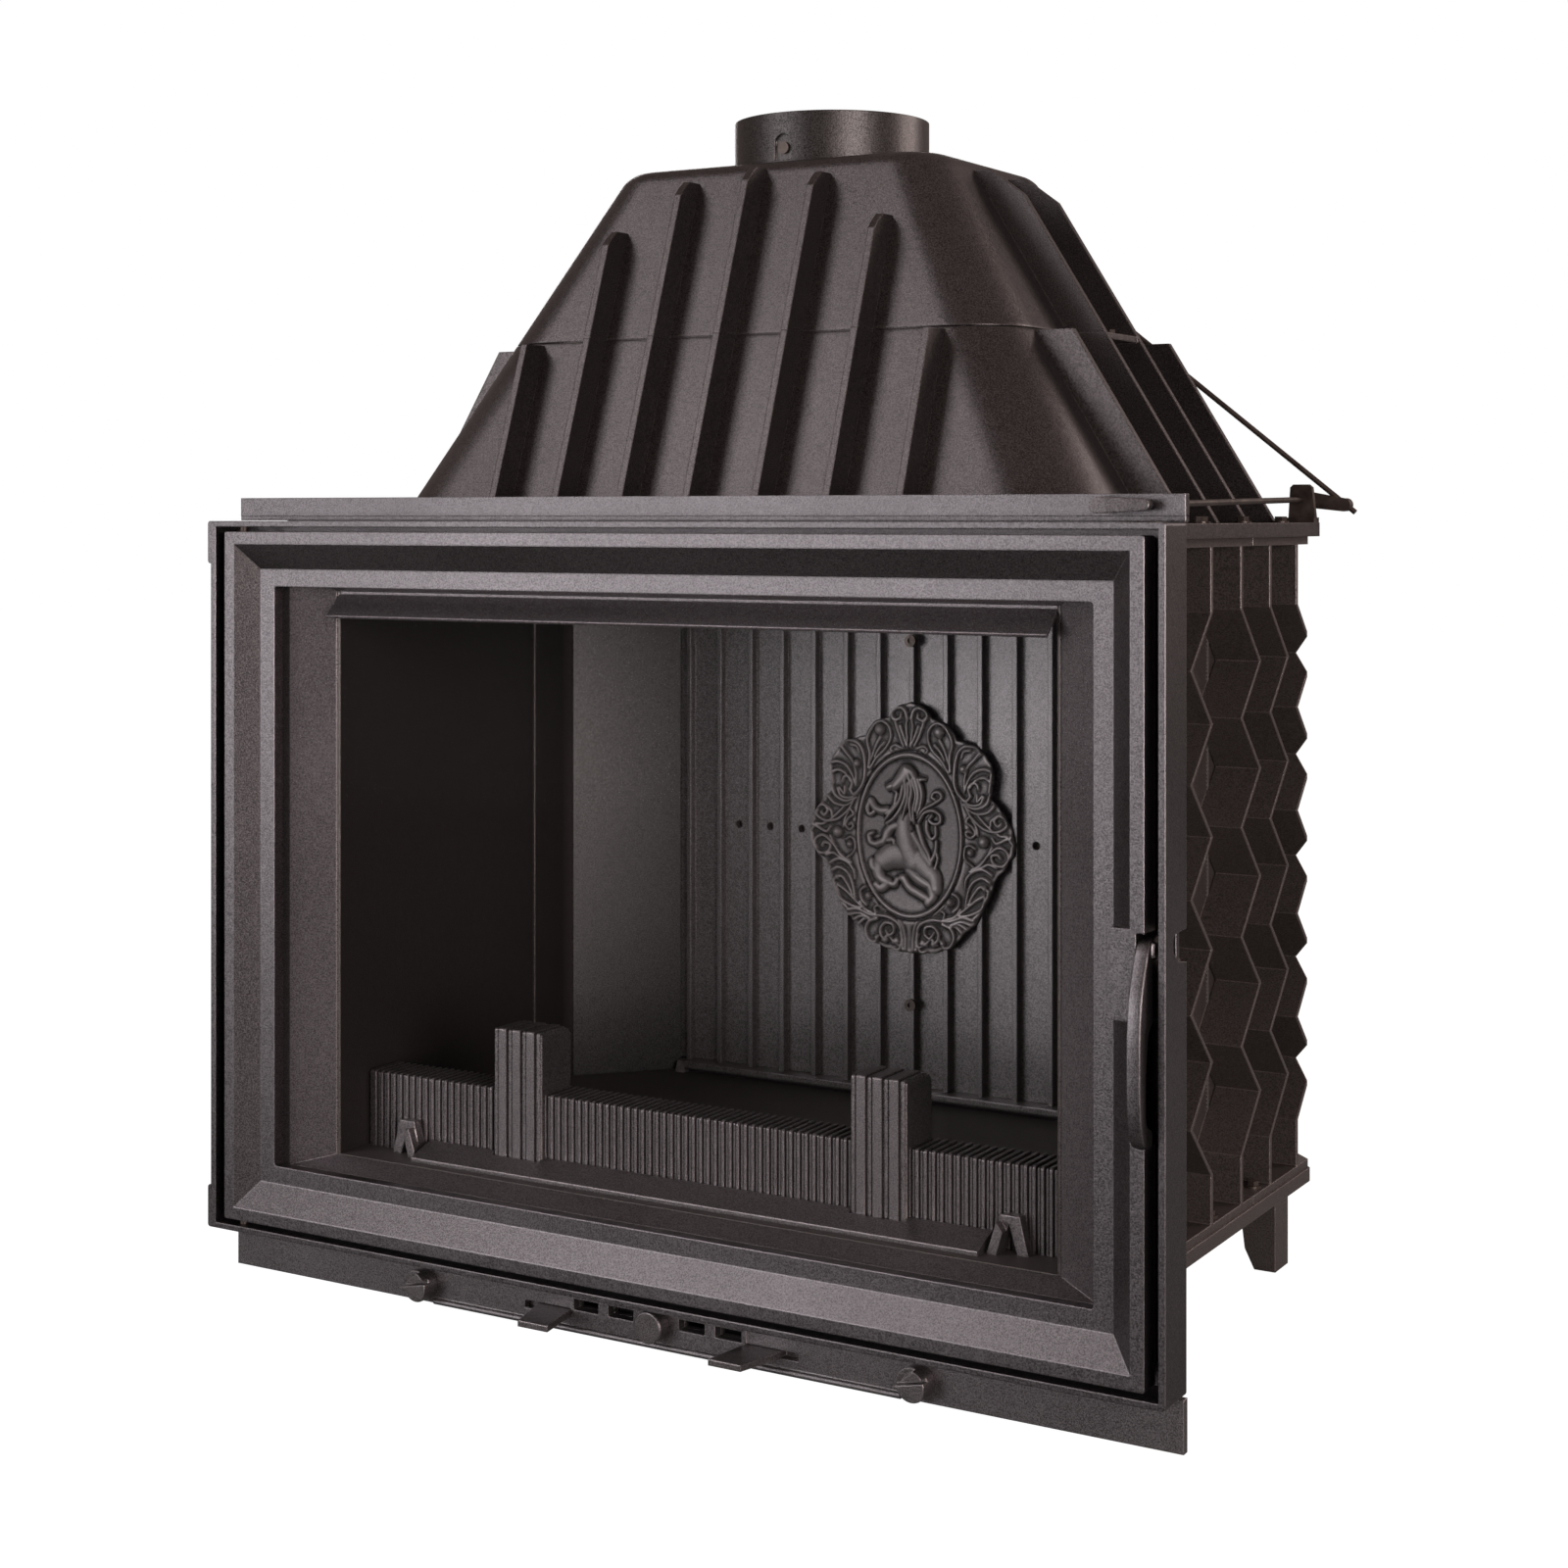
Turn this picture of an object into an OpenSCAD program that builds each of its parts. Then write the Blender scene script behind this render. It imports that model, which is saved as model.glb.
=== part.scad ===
// Cast iron fireplace insert: glazed door, finned firebox, ribbed smoke hood and flue collar.
// Millimetres, +Z up, the door faces -Y. The floor is Z = 0 and the origin is under the middle.

/* [Front surround] */
// width of the front surround
frame_w = 1010; // [960:1:1100]
// height of the front surround
frame_h = 701.5; // [660:0.5:800]
// depth of the surround in front of the top bar
frame_d = 43; // [40:1:55]
// thickness of the surround's rim
rim_t = 6; // [5:0.5:8]
// height of the top bar's face
bar_h = 18.5; // [14:0.5:30]

/* [Body] */
// height of the base plate's underside above the floor
foot_h = 99.5; // [90:0.5:140]
// depth of the body behind the front of the top bar
body_d = 545; // [520:1:640]
// distance from the front's outer edge to the firebox wall's inner face
side_margin = 118; // [100:1:150]
// thickness of the cast walls
wall_t = 8; // [6:0.5:10]
// thickness of the base and top plates
plate_t = 13.5; // [10:0.5:16]
// reach of the cooling fins outside the side walls
fin_out = 45; // [30:1:50]
// thickness of the cooling fins
fin_t = 5; // [4:0.5:7]
// thickness of the hearth plate
hearth_t = 12; // [8:0.5:16]

/* [Hood and flue] */
// height of the smoke hood
hood_h = 350.5; // [300:0.5:420]
// height of the hood's lower casting
seam_h = 178.5; // [150:0.5:200]
// thickness of the hood ribs
rib_t = 7; // [5:0.5:9]
// spacing of the front ribs
rib_pitch = 74.1; // [60:0.1:80]
// outside diameter of the flue collar, for a pipe that slips over it
collar_d = 197.4; // [180:0.1:230]
// height of the flue collar
collar_h = 53; // [45:1:90]

/* [Door] */
// gap between door and rim at the sides
door_gap = 12; // [10:0.5:16]
// width of the door frame round the glass
door_band = 50.5; // [48:0.5:60]
// thickness of the glass
glass_t = 4; // [3:0.5:5]
// diameter of the hinge pins
pin_d = 8; // [6:0.5:9]
// length of the handle below its pivot
handle_l = 153; // [120:1:200]

/* [Fire and air] */
// height of the log fence above the hearth
fence_h = 75.5; // [50:0.5:110]
// pitch of the fence's flutes
comb = 8.04; // [6:0.02:12]
// width of the fence posts
post_w = 56; // [40:1:70]
// spacing of the ribs on the back lining
lining_pitch = 40.7; // [30:0.1:50]
// height of the ribs on the back lining
lining_rib = 10; // [6:0.5:14]
// width of the crest
crest_w = 247; // [200:1:270]
// height of the crest
crest_h = 271; // [220:1:300]
// width of the ash grate
grate_w = 259; // [220:1:300]
// depth of the ash grate
grate_d = 159; // [130:1:180]
// diameter of the turn knobs
knob_d = 30; // [24:1:34]
// diameter of the damper shaft
shaft_d = 5.6; // [4:0.2:8]
// radius of the damper's arm and crank
arm_r = 36.4; // [28:0.2:40]

/* [Which piece] */
// one piece by name, or all of them

/* [Hidden] */
$fn = 48;
cut = 1;            // overshoot of a cut
seat = 0.3;         // gap at a seat between castings
run = 0.06;         // radial clearance of a running fit

// levels of the body and the surround
half_w = frame_w / 2;
rim_in = half_w - rim_t;
frame_z0 = foot_h - 50;
frame_z1 = frame_z0 + frame_h;
front_y = -frame_d;
flange_y = -4;
flange_t = 6;
body_y = flange_y + flange_t + seat;
base_z = foot_h + plate_t;
hearth_z = base_z + hearth_t;
top_z = frame_z1 - 1.5;
head_z = top_z - plate_t;

// plan of the firebox
fire_x = half_w - side_margin;
wall_x = fire_x + wall_t;
fin_x = wall_x + fin_out;
base_x = fin_x + 2;
top_x = base_x + 10;
rear_y = body_d - 42;           // face of the back lining
corner = 85;                    // width of the slanted rear corners
corner_y = rear_y - 94;         // where they begin
lining_t = 8;
back_y = rear_y + lining_t + 1; // inner face of the rear wall
chamfer = 50;                   // slanted corners of base and top plate
foot_d = 38;
joint_y = 0.615 * body_d;       // joint of the front and rear side castings
mouth_z = frame_z1 - 71;        // upper edge of the fire mouth
splay = 46;                     // the jambs flare by this to the front
splay_y = -8;
mouth_y = 12.5;
shelf_z = mouth_z + 20;         // underside of the smoke baffle
lug_t = 7;
rope_t = 3;                     // sealing rope between the side castings
flange_h = 8;                   // upper and lower flanges of the side castings
fold = 50;                      // depth of the fins' folds
folds_top = head_z - 116.5;     // highest fold
fold_z = (folds_top - base_z - 102.5) / 4;
side_fins = [0.138, 0.279, 0.42] * body_d;
rear_fins = [0.71, 0.85] * body_d;
rear_rib_gap = 84;

// floor, linings and fence
grate_y = 0.3679 * body_d;      // front of the grate
grate_t = 10;
pan_z = foot_h - 37.5;          // rim of the ash pan
ash_w = grate_w + 41;           // ash box
ash_y0 = grate_y - 30;
ash_y1 = grate_y + grate_d + 30;
ash_z = 6;
sheet_t = 2;
crest_z = hearth_z + 294.5;     // centre of the crest
crest_y = rear_y - lining_rib;  // the crest lies on the ribs
screw_z = hearth_z + 300.5;     // the crest's screws, above and below
screw_rise = 196;
hole_z = hearth_z + 284;
ledge_z = hearth_z + 14.4;      // ledge at the foot of the back lining
ledge_y = rear_y - 20;
fence_y = 56;
fence_t = 44;
post_x = 0.51 * fire_x;
post_h = fence_h + 60;
baffle_y = 140;                 // front edge of the smoke baffle

// levels and slopes of the hood
hood_y = 64.7;                  // front of the hood foot
hood_x = fire_x + 6.8;          // half width of the hood foot
hood_rear = body_d - 15;
lean_x = 0.616;
lean_f = 0.346;
lean_r = 0.225;
hood_r = 80;
rib_out = 30;                   // reach of the front ribs
side_out = 38;                  // reach of the side ribs
rib_ys = [0.3523, 0.4936, 0.6358, 0.778] * body_d;
seam_z = top_z + seam_h;
hood_z = top_z + hood_h;
collar_r = collar_d / 2;
collar_t = 5.5;
collar_screws = [-90, 30, 150];
flue_y = (hood_y + lean_f * hood_h + hood_rear - lean_r * hood_h) / 2;

// door, hinge and handle
door_x = rim_in - door_gap;
door_z0 = frame_z0 + 11.5;
door_z1 = frame_z1 - 10.6;
door_y = -12;                   // rear of the door
edge_y = -20;                   // rear of its thin outer edge
band_y = front_y + 16;          // inner flat band of the door
glass_y = -14.2;
rope_gap = 16;                  // from the opening to the sealing rope
rope_w = 9;
lever_x = door_x - 32;          // thicker end of the door behind the lever
bevel = 12;                     // flat margin before the bevel
bevel_w = 21;
bevel_h = 25;
open_x = door_x - door_band;
open_z0 = door_z0 + door_band + 3.8;
open_z1 = door_z1 - door_band - 3.4;
pin_r = pin_d / 2;
hinge_x = -(door_x - 15);
hinge_y = front_y + 12;
pivot_y = front_y + 9;
pivot_z = door_z0 + 350;
pivot_r = 3;
blade_x = door_x - 7;
blade_w = 12;

// air controls in the skirt
skirt_y = -4;
skirt_t = 8;
skirt_z = 3.3;
skirt_top = frame_z0 - 2.5;
control_z = 26;
knob_x = 0.527 * half_w;
slot_z = 16.5;
slide_t = 3.6;
vent_x = [24.5, 63.2];          // air holes at the middle
vent_w = 27.6;
vent_z0 = 24;
vent_z1 = 34;
slot_x0 = 93.4;                 // slots of the two slides
slot_x1 = 148;
turn_z = 21;
guide_x = 170;                  // reach of the slides' guides
slide_y = skirt_y + skirt_t + 0.2;

// damper: the shaft's frame, with its own Y along the shaft
shaft_r = shaft_d / 2;
shaft_x = half_w - 32;
shaft_z = top_z + 15.5;
shaft_turn = 4.254;
shaft_rise = 0.825;
arm_y = body_d - 36.5;           // plane of the arm, behind the slanted corner
arm_t = 6;
arm_drop = 8.5;                 // the arm points a little down
flap_x = -(shaft_x - 137);      // flap axle in the shaft's frame
flap_z = hood_h - 77;
flap_r = 97;
throat_r = flap_r - 7;
axle_r = 6;
flap_hang = 50;
flap_y = (flue_y - flap_x * sin(shaft_turn)) / cos(shaft_turn);
flap_mid = shaft_x + flap_x * cos(shaft_turn) - flap_y * sin(shaft_turn);
throat_z = shaft_z + flap_z + flap_y * sin(shaft_rise) + 9.5;
handle_out = 21;               // the handle stands this far in front of the surround
middle_y = (body_d - frame_d - handle_out) / 2;

module box(x0, x1, y0, y1, z0, z1) translate([x0, y0, z0]) cube([x1 - x0, y1 - y0, z1 - z0]);
module rod_y(r, y0, y1, x = 0, z = 0) translate([x, y0, z]) rotate([-90, 0, 0]) cylinder(r = r, h = y1 - y0);
module rod_x(r, x0, x1, y = 0, z = 0) translate([x0, y, z]) rotate([0, 90, 0]) cylinder(r = r, h = x1 - x0);
module front_profile(y0, y1) translate([0, y1, 0]) rotate([90, 0, 0]) linear_extrude(y1 - y0) children();
module side_profile(x0, x1) translate([x0, 0, 0]) rotate([90, 0, 90]) linear_extrude(x1 - x0) children();
module round_box(x0, x1, z0, z1, r) {
    translate([x0 + r, z0]) square([x1 - x0 - 2 * r, z1 - z0]);
    translate([x0, z0 + r]) square([x1 - x0, z1 - z0 - 2 * r]);
    for (x = [x0 + r, x1 - r], z = [z0 + r, z1 - r]) translate([x, z]) circle(r);
}
module both() {
    children();
    mirror([1, 0, 0]) children();
}
module hex_bolt(x, y, z) translate([x, y, z]) {
    cylinder(r = 8, h = 1.6);
    cylinder(r = 6, h = 6, $fn = 6);
}
module at_shaft() translate([shaft_x, 0, shaft_z]) rotate([shaft_rise, 0, shaft_turn]) children();

// the half outline of base and top plate, with its slanted rear corner
function plate_half(x, d) = [[0, body_y], [x, body_y], [x, d - chamfer], [x - chamfer, d], [0, d]];

// Base plate and feet.
module base_plate() color("#3a3432") difference() {
    both() translate([0, 0, foot_h]) linear_extrude(plate_t) polygon(plate_half(base_x, body_d));
    grate_block(5.5, foot_h - cut, base_z + cut);
}
module foot(y) color("#38312f") difference() {
    front_profile(y, y + foot_d)
        polygon([[wall_x - 34, foot_h], [wall_x + 8, foot_h], [wall_x + 8, 0],
                 [wall_x - 14, 0], [wall_x - 24, 20]]);
    box(wall_x - 40, wall_x + 1, y + 7, y + foot_d - 7, 7, foot_h - 8);
}
module front_feet() both() foot(skirt_y + skirt_t + seat);
module rear_feet() both() foot(body_d - foot_d - 2);

// Firebox walls with folded cooling fins.
module fin_line(y0, way) {
    folds = [for (k = [0:4], m = [0, 1])
        if (k + m < 5) [y0 + way * fold * (1 - m), folds_top - (k + m / 2) * fold_z]];
    line = concat([[y0, head_z - 4], [y0, folds_top + fold]], folds,
        [[y0, folds_top - 4 * fold_z - fold], [y0, base_z + 4]]);
    polygon(concat(line, [for (i = [len(line) - 1:-1:0]) line[i] + [fin_t, 0]]));
}
module side_flanges(x, y0, y1) for (z = [base_z, head_z - flange_h])
    box(x, base_x - 2, y0, y1, z, z + flange_h);
module side_front() color("#332c2a") {
    translate([0, 0, base_z]) linear_extrude(head_z - base_z) polygon([
        [fire_x, mouth_y + 1], [fire_x + 10, mouth_y + 1], [fire_x + 37, body_y], [base_x, body_y],
        [base_x, body_y + wall_t], [fire_x + 38, body_y + wall_t], [wall_x + 3, 22], [wall_x, 26],
        [wall_x, joint_y], [fire_x, joint_y]]);
    side_flanges(wall_x - 1, mouth_y + 2, joint_y);
    for (y = side_fins) side_profile(wall_x - 1, fin_x) fin_line(y, -1);
    difference() {
        side_profile(wall_x - 1, fin_x) fin_line(joint_y - 29.5, 1);
        box(wall_x - 2, wall_x + 1.5, joint_y, joint_y + 100, base_z, head_z);
    }
    box(fire_x - lug_t, fire_x + 1, 20, 44, shelf_z - 13 - lug_t, shelf_z - 13);
    box(fire_x - lug_t, fire_x + 1, joint_y - 110, joint_y - 84, shelf_z - lug_t, shelf_z);
}
module side_front_right() side_front();
module side_front_left() mirror([1, 0, 0]) side_front();
module rear_corner_plan(inner) {
    x0 = fire_x - corner;
    polygon(inner
        ? [[0, 0], [wall_x - 2, 0], [wall_x - 2, corner_y + 12], [x0 + wall_t, back_y + 4], [0, back_y + 4]]
        : [[fire_x, joint_y + rope_t], [wall_x, joint_y + rope_t], [wall_x, corner_y + 15],
           [x0 + 6, back_y + wall_t], [x0 - 6, back_y + wall_t], [x0 - 6, back_y],
           [x0 + 2.5, back_y], [fire_x, corner_y + 11.5]]);
}
module side_rear() color("#312a28") {
    translate([0, 0, base_z]) linear_extrude(head_z - base_z) rear_corner_plan(false);
    difference() {
        union() {
            for (y = rear_fins) side_profile(fire_x - corner + 8, fin_x - 1) fin_line(y, 1);
            side_flanges(fire_x - corner + 8, joint_y + rope_t, body_d);
        }
        translate([0, 0, base_z - cut]) linear_extrude(head_z) rear_corner_plan(true);
        translate([0, 0, base_z - cut]) linear_extrude(head_z)
            polygon([[base_x - 2, body_d - chamfer], [base_x + 80, body_d - chamfer],
                     [base_x + 80, body_d + 90], [base_x - chamfer - 92, body_d + 90],
                     [base_x - chamfer - 92, body_d],
                     [base_x - chamfer - 2, body_d]]);
    }
    box(fire_x - lug_t, fire_x + 1, joint_y + 30, joint_y + 56, shelf_z - lug_t, shelf_z);
}
module side_rear_right() side_rear();
module side_rear_left() mirror([1, 0, 0]) side_rear();
module joint_ropes() color("#8a7c72") both()
    box(wall_x - 6, wall_x + 1.2, joint_y, joint_y + rope_t,
        base_z + flange_h + seat, head_z - flange_h - seat);
module rear_wall() color("#302927") {
    reach = fire_x - corner - 6 - seat;
    box(-reach, reach, back_y, back_y + wall_t, base_z, head_z);
    for (i = [-3:3]) translate([i * rear_rib_gap, 0, 0])
        box(-fin_t / 2, fin_t / 2, back_y + wall_t - 1, body_d, base_z, head_z);
    for (z = [base_z, head_z - flange_h]) box(-reach, reach, back_y + wall_t - 1, body_d, z, z + flange_h);
}

// Top plate and the bar over the surround.
module top_plate() color("#463b37") difference() {
    both() translate([0, 0, head_z]) linear_extrude(plate_t) polygon(plate_half(top_x, body_d));
    translate([0, 0, head_z - cut]) linear_extrude(plate_t + 2 * cut)
        round_box(-hood_x + 16, hood_x - 16, hood_y + 16, hood_rear - 16, hood_r - 16);
}
module top_bar() color("#565050") difference() {
    union() {
        box(-half_w, half_w, 0, 8, frame_z1 + 4.5, frame_z1 + 4.5 + bar_h);
        box(-top_x + 6, top_x - 6, 3, 30, top_z, frame_z1 + 5);
    }
    at_shaft() rod_y(shaft_r + run, -10, 20);
}

// Smoke hood. Each level is a rounded rectangle that shrinks upwards.
module hood_slice(z, inset) {
    k = z - top_z;
    r = hood_r - inset + 0.05 * k;
    for (x = [-1, 1], y = [hood_y + lean_f * k + inset + r, hood_rear - lean_r * k - inset - r])
        translate([x * (hood_x - lean_x * k - inset - r), y, z]) cylinder(r = r, h = 0.01, $fn = 32);
}
module hood_block(z0, z1, inset) hull() {
    hood_slice(z0, inset);
    hood_slice(z1 - 0.01, inset);
}
module hood_crown(inset) hull() {
    for (q = [[seam_h - (inset > 0 ? cut : 0), 0], [hood_h - 40, 0], [hood_h - 20, 3], [hood_h - 7, 10],
              [hood_h - 0.01, 21]])
        if (q[0] <= hood_h - inset) hood_slice(top_z + q[0], inset + q[1]);
    hood_slice(hood_z - inset - 0.01, inset + 18);
}
module front_rib(x, z0, z1, rounded) {
    a = z0 - top_z;
    b = z1 - top_z;
    line = hood_y - rib_out;
    end = rounded ? [[line + lean_f * (b - 14), z1 - 14], [line + lean_f * b + 3, z1 - 6],
                     [line + lean_f * b + 11, z1]]
                  : [[line + lean_f * b, z1]];
    side_profile(x - rib_t / 2, x + rib_t / 2) polygon(concat([[line + lean_f * a, z0]], end,
        [[hood_y + lean_f * b + 4, z1], [hood_y + lean_f * a + 4, z0]]));
}
module side_rib(y, z0, z1, rounded) {
    a = z0 - top_z;
    b = z1 - top_z;
    line = hood_x + side_out;
    end = rounded ? [[line - lean_x * (b - 26) - 1, z1 - 26], [line - lean_x * b - 8, z1 - 9],
                     [line - lean_x * b - 20, z1]]
                  : [[line - lean_x * b, z1]];
    front_profile(y - rib_t / 2, y + rib_t / 2) polygon(concat([[line - lean_x * a, z0]], end,
        [[hood_x - lean_x * b - 4, z1], [hood_x - lean_x * a - 4, z0]]));
}
module hood_lower() color("#413a38") {
    difference() {
        hood_block(top_z, seam_z, 0);
        hood_block(top_z - cut, seam_z + cut, wall_t);
    }
    difference() {
        union() {
            for (i = [-3:3]) front_rib(i * rib_pitch, top_z, seam_z - (abs(i) == 3 ? 3 : 0), false);
            both() for (i = [0:3]) side_rib(rib_ys[i], top_z, seam_z - (i % 3 == 0 ? 2 : 0), false);
            both() translate([hood_x - lean_x * seam_h, 0, 0])
                box(-4, side_out, rib_ys[1], rib_ys[2], seam_z - 6, seam_z);
        }
        hood_block(top_z - cut, seam_z + cut, wall_t / 2);
    }
}
module hood_upper() color("#3f3836") difference() {
    union() {
        hood_crown(0);
        for (i = [-2:2]) front_rib(i * rib_pitch, seam_z, hood_z - [8, 18, 64][abs(i)], true);
        both() for (i = [1, 2]) side_rib(rib_ys[i], seam_z, hood_z - 12, true);
    }
    hood_crown(wall_t);
    translate([0, flue_y, hood_z - 20]) cylinder(r = collar_r - collar_t, h = 30);
    at_shaft() rod_y(9, 380, 560, flap_x, flap_z);
}
module casting_bolts() color("#3a3331") both() {
    for (y = [0.1835, 0.376, 0.569, 0.7615] * body_d) hex_bolt(top_x - 12, y, top_z);
    for (y = [0.11, 0.468, 0.679] * body_d) hex_bolt(base_x - 14, y, base_z + flange_h);
    for (y = [rib_ys[1] + 24, rib_ys[2] - 24]) hex_bolt(hood_x - lean_x * seam_h + 18, y, seam_z);
}
module throat_plate() color("#35302e") difference() {
    union() {
        hood_block(throat_z, throat_z + 6, wall_t + seat);
        at_shaft() for (y = [flap_y - 110, flap_y + 100])
            box(flap_x - 12, flap_x + 12, y, y + 10, flap_z - 12, flap_z + 12);
    }
    translate([0, flue_y, throat_z - cut]) cylinder(r = throat_r, h = 20);
    at_shaft() rod_y(axle_r + run, flap_y - 130, flap_y + 130, flap_x, flap_z);
}
module flue_collar() color("#4b4441") difference() {
    union() {
        translate([0, flue_y, hood_z]) rotate([0, 0, -10]) cylinder(r = collar_r, h = collar_h);
        translate([0, flue_y, hood_z]) cylinder(r = collar_r + 4, h = 4);
    }
    translate([0, flue_y, hood_z - cut]) cylinder(r = collar_r - collar_t, h = collar_h + 2 * cut);
    for (a = collar_screws) translate([0, flue_y, hood_z + 18]) rotate([0, 0, a]) {
        box(collar_r - 3.4, collar_r + 5, -9.5, 9.5, -12, 4);
        rod_x(9.5, collar_r - 3.4, collar_r + 5, 0, 4);
        rod_x(3 + run, collar_r - 10, collar_r);
    }
}

// Surround on the face of the body, and the funnel behind it.
module front_frame() color("#5b5454") difference() {
    union() {
        difference() {
            front_profile(front_y, flange_y + flange_t) round_box(-half_w, half_w, frame_z0, frame_z1, 3);
            box(-rim_in, rim_in, front_y - cut, flange_y, frame_z0 + rim_t - 0.5, frame_z1 - rim_t + 0.5);
        }
        for (z = [frame_z0, frame_z1 - 42]) difference() {
            front_profile(front_y, flange_y + flange_t) round_box(-half_w - 4, -half_w + 38, z, z + 42, 3);
            box(-rim_in, half_w, front_y - cut, flange_y, frame_z0 + rim_t - 0.5, frame_z1 - rim_t + 0.5);
        }
        side_profile(rim_in - 4, rim_in + 1)
            polygon([[-33, pivot_z - 2], [-27, pivot_z - 2], [-27, pivot_z + 10], [-33, pivot_z + 10]]);
    }
    front_profile(flange_y - cut, flange_y + flange_t + cut)
        round_box(-fire_x - splay - 3.5, fire_x + splay + 3.5, hearth_z - 16, mouth_z + 28, 4);
    side_profile(rim_in - 0.4, half_w + cut)
        polygon([[9, pivot_z + 14], [-22, pivot_z + 12.5], [-26, pivot_z + 9],
        [-26, pivot_z - 2], [-15, pivot_z - 10.4], [9, pivot_z - 14]]);
    for (z = [frame_z0 + 1, frame_z1 - rim_t - 2])
        translate([hinge_x, hinge_y, z]) cylinder(r = pin_r + 0.02, h = 7);
}
module fire_surround() color("#453d3b") difference() {
    union() {
        front_profile(splay_y, flange_y - 0.2)
            round_box(-fire_x - splay - 36, fire_x + splay + 36, hearth_z - 36, mouth_z + 46, 8);
        hull() {
            box(-fire_x - splay - 3, fire_x + splay + 3, flange_y - 0.3, flange_y,
                hearth_z - 14, mouth_z + 26);
            box(-fire_x - 9, fire_x + 9, mouth_y, mouth_y + 0.7, hearth_z - 6, mouth_z + 6);
        }
    }
    hull() {
        box(-fire_x - splay, fire_x + splay, splay_y - 0.2, splay_y, hearth_z - 12, mouth_z + 22);
        box(-fire_x, fire_x, mouth_y, mouth_y + 2, hearth_z, mouth_z);
    }
}
module deflector() color("#2b2624") side_profile(-fire_x + seat, fire_x - seat)
    polygon([[-8, mouth_z - 22], [-6.5, mouth_z - 24.5], [17.5, mouth_z - 3],
             [17.5, shelf_z - 13], [44, shelf_z - 13],
             [44, shelf_z - 9], [13.5, shelf_z - 9], [13.5, mouth_z - 1.5]]);

// Floor and linings of the firebox.
module fire_plan(gap) {
    x0 = fire_x - corner;
    polygon([[-fire_x + gap, mouth_y + 1], [fire_x - gap, mouth_y + 1],
             [fire_x - gap, corner_y], [x0, rear_y - gap],
             [-x0, rear_y - gap], [-fire_x + gap, corner_y]]);
}
module hearth_plate() color("#37322f") difference() {
    translate([0, 0, base_z]) linear_extrude(hearth_t) fire_plan(seat);
    grate_block(0.5, base_z - cut, hearth_z + cut);
}
module grate_block(grow, z0, z1)
    box(-grate_w / 2 - grow, grate_w / 2 + grow, grate_y - grow, grate_y + grate_d + grow, z0, z1);
module grate() color("#2f2a28") difference() {
    grate_block(0, hearth_z - grate_t, hearth_z);
    for (i = [-5:5]) translate([i * grate_w * 0.085, 0, 0])
        box(-5, 5, grate_y + 13.5, grate_y + grate_d - 13.5, base_z, hearth_z + cut);
}
module grate_rest() color("#2f2a28") difference() {
    union() {
        grate_block(5, foot_h, base_z);
        grate_block(0, base_z - cut, hearth_z - grate_t);
    }
    grate_block(-9.5, foot_h - cut, hearth_z);
}
module ash_box() color("#4c4744") difference() {
    box(-ash_w / 2, ash_w / 2, ash_y0, ash_y1, ash_z, foot_h);
    box(-ash_w / 2 + sheet_t, ash_w / 2 - sheet_t, ash_y0 + sheet_t, ash_y1 - sheet_t,
        ash_z + sheet_t, foot_h + cut);
    rod_y(14, ash_y0 - cut, ash_y0 + sheet_t + cut, 0, control_z);
}
module ash_pan() color("#6a635e") difference() {
    box(-ash_w / 2 + 10, ash_w / 2 - 10, ash_y0 + 6, ash_y1 - 6, ash_z + sheet_t, pan_z);
    box(-ash_w / 2 + 11.5, ash_w / 2 - 11.5, ash_y0 + 7.5, ash_y1 - 7.5,
        ash_z + sheet_t + 1.5, pan_z + cut);
}
module back_lining() color("#5a5350") difference() {
    reach = fire_x - corner - seat;
    union() {
        box(-reach, reach, rear_y, rear_y + lining_t, ledge_z, shelf_z - 4);
        for (i = [-7:7]) translate([i * lining_pitch, 0, 0])
            box(-2.8, 2.8, crest_y, rear_y + cut, ledge_z, shelf_z - 4);
    }
    both() for (k = [3.5:5.5]) rod_y(4.3, rear_y - cut, rear_y + lining_t + cut, k * lining_pitch, hole_z);
    for (z = [-1, 1]) rod_y(2, crest_y - cut, rear_y + lining_t + cut, 0, screw_z + z * screw_rise);
}
module back_lip() color("#544d4b") {
    reach = fire_x - corner - 4;
    side_profile(-reach + 13, reach - 13) polygon([[ledge_y + 1, hearth_z + 6], [ledge_y, hearth_z + 8],
        [ledge_y, ledge_z - 1], [ledge_y + 1.5, ledge_z - seat], [rear_y + lining_t, ledge_z - seat],
        [rear_y + lining_t, hearth_z], [rear_y - 6, hearth_z]]);
    both() hull() {
        box(reach - 12, reach, rear_y - 18, rear_y - seat, hearth_z, hearth_z + 1);
        box(reach - 9, reach, rear_y - 14, rear_y - seat, ledge_z - 3, ledge_z - 2);
    }
}
module screws() color("#4a4340") {
    for (z = [-1, 1]) difference() {
        union() {
            rod_y(2, crest_y - cut, back_y - seat, 0, screw_z + z * screw_rise);
            rod_y(6.5, crest_y - 4.5, crest_y, 0, screw_z + z * screw_rise);
        }
        rod_y(2.6, crest_y - 5, crest_y - 2, 0, screw_z + z * screw_rise);
    }
    for (a = collar_screws) translate([0, flue_y, hood_z + 18]) rotate([0, 0, a]) {
        rod_x(3, collar_r - 12, collar_r - 3);
        rod_x(6, collar_r - 3.4, collar_r - 0.4);
    }
}
module corner_lining_right() color("#57504e")
translate([0, 0, hearth_z]) linear_extrude(shelf_z - 4 - hearth_z)
    polygon([[fire_x - seat, corner_y + 0.3], [fire_x - seat, corner_y + 10.5],
             [fire_x - corner + 1, back_y - 0.7],
             [fire_x - corner, back_y - 0.7], [fire_x - corner, rear_y + 0.2]]);
module corner_lining_left() mirror([1, 0, 0]) corner_lining_right();
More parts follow.
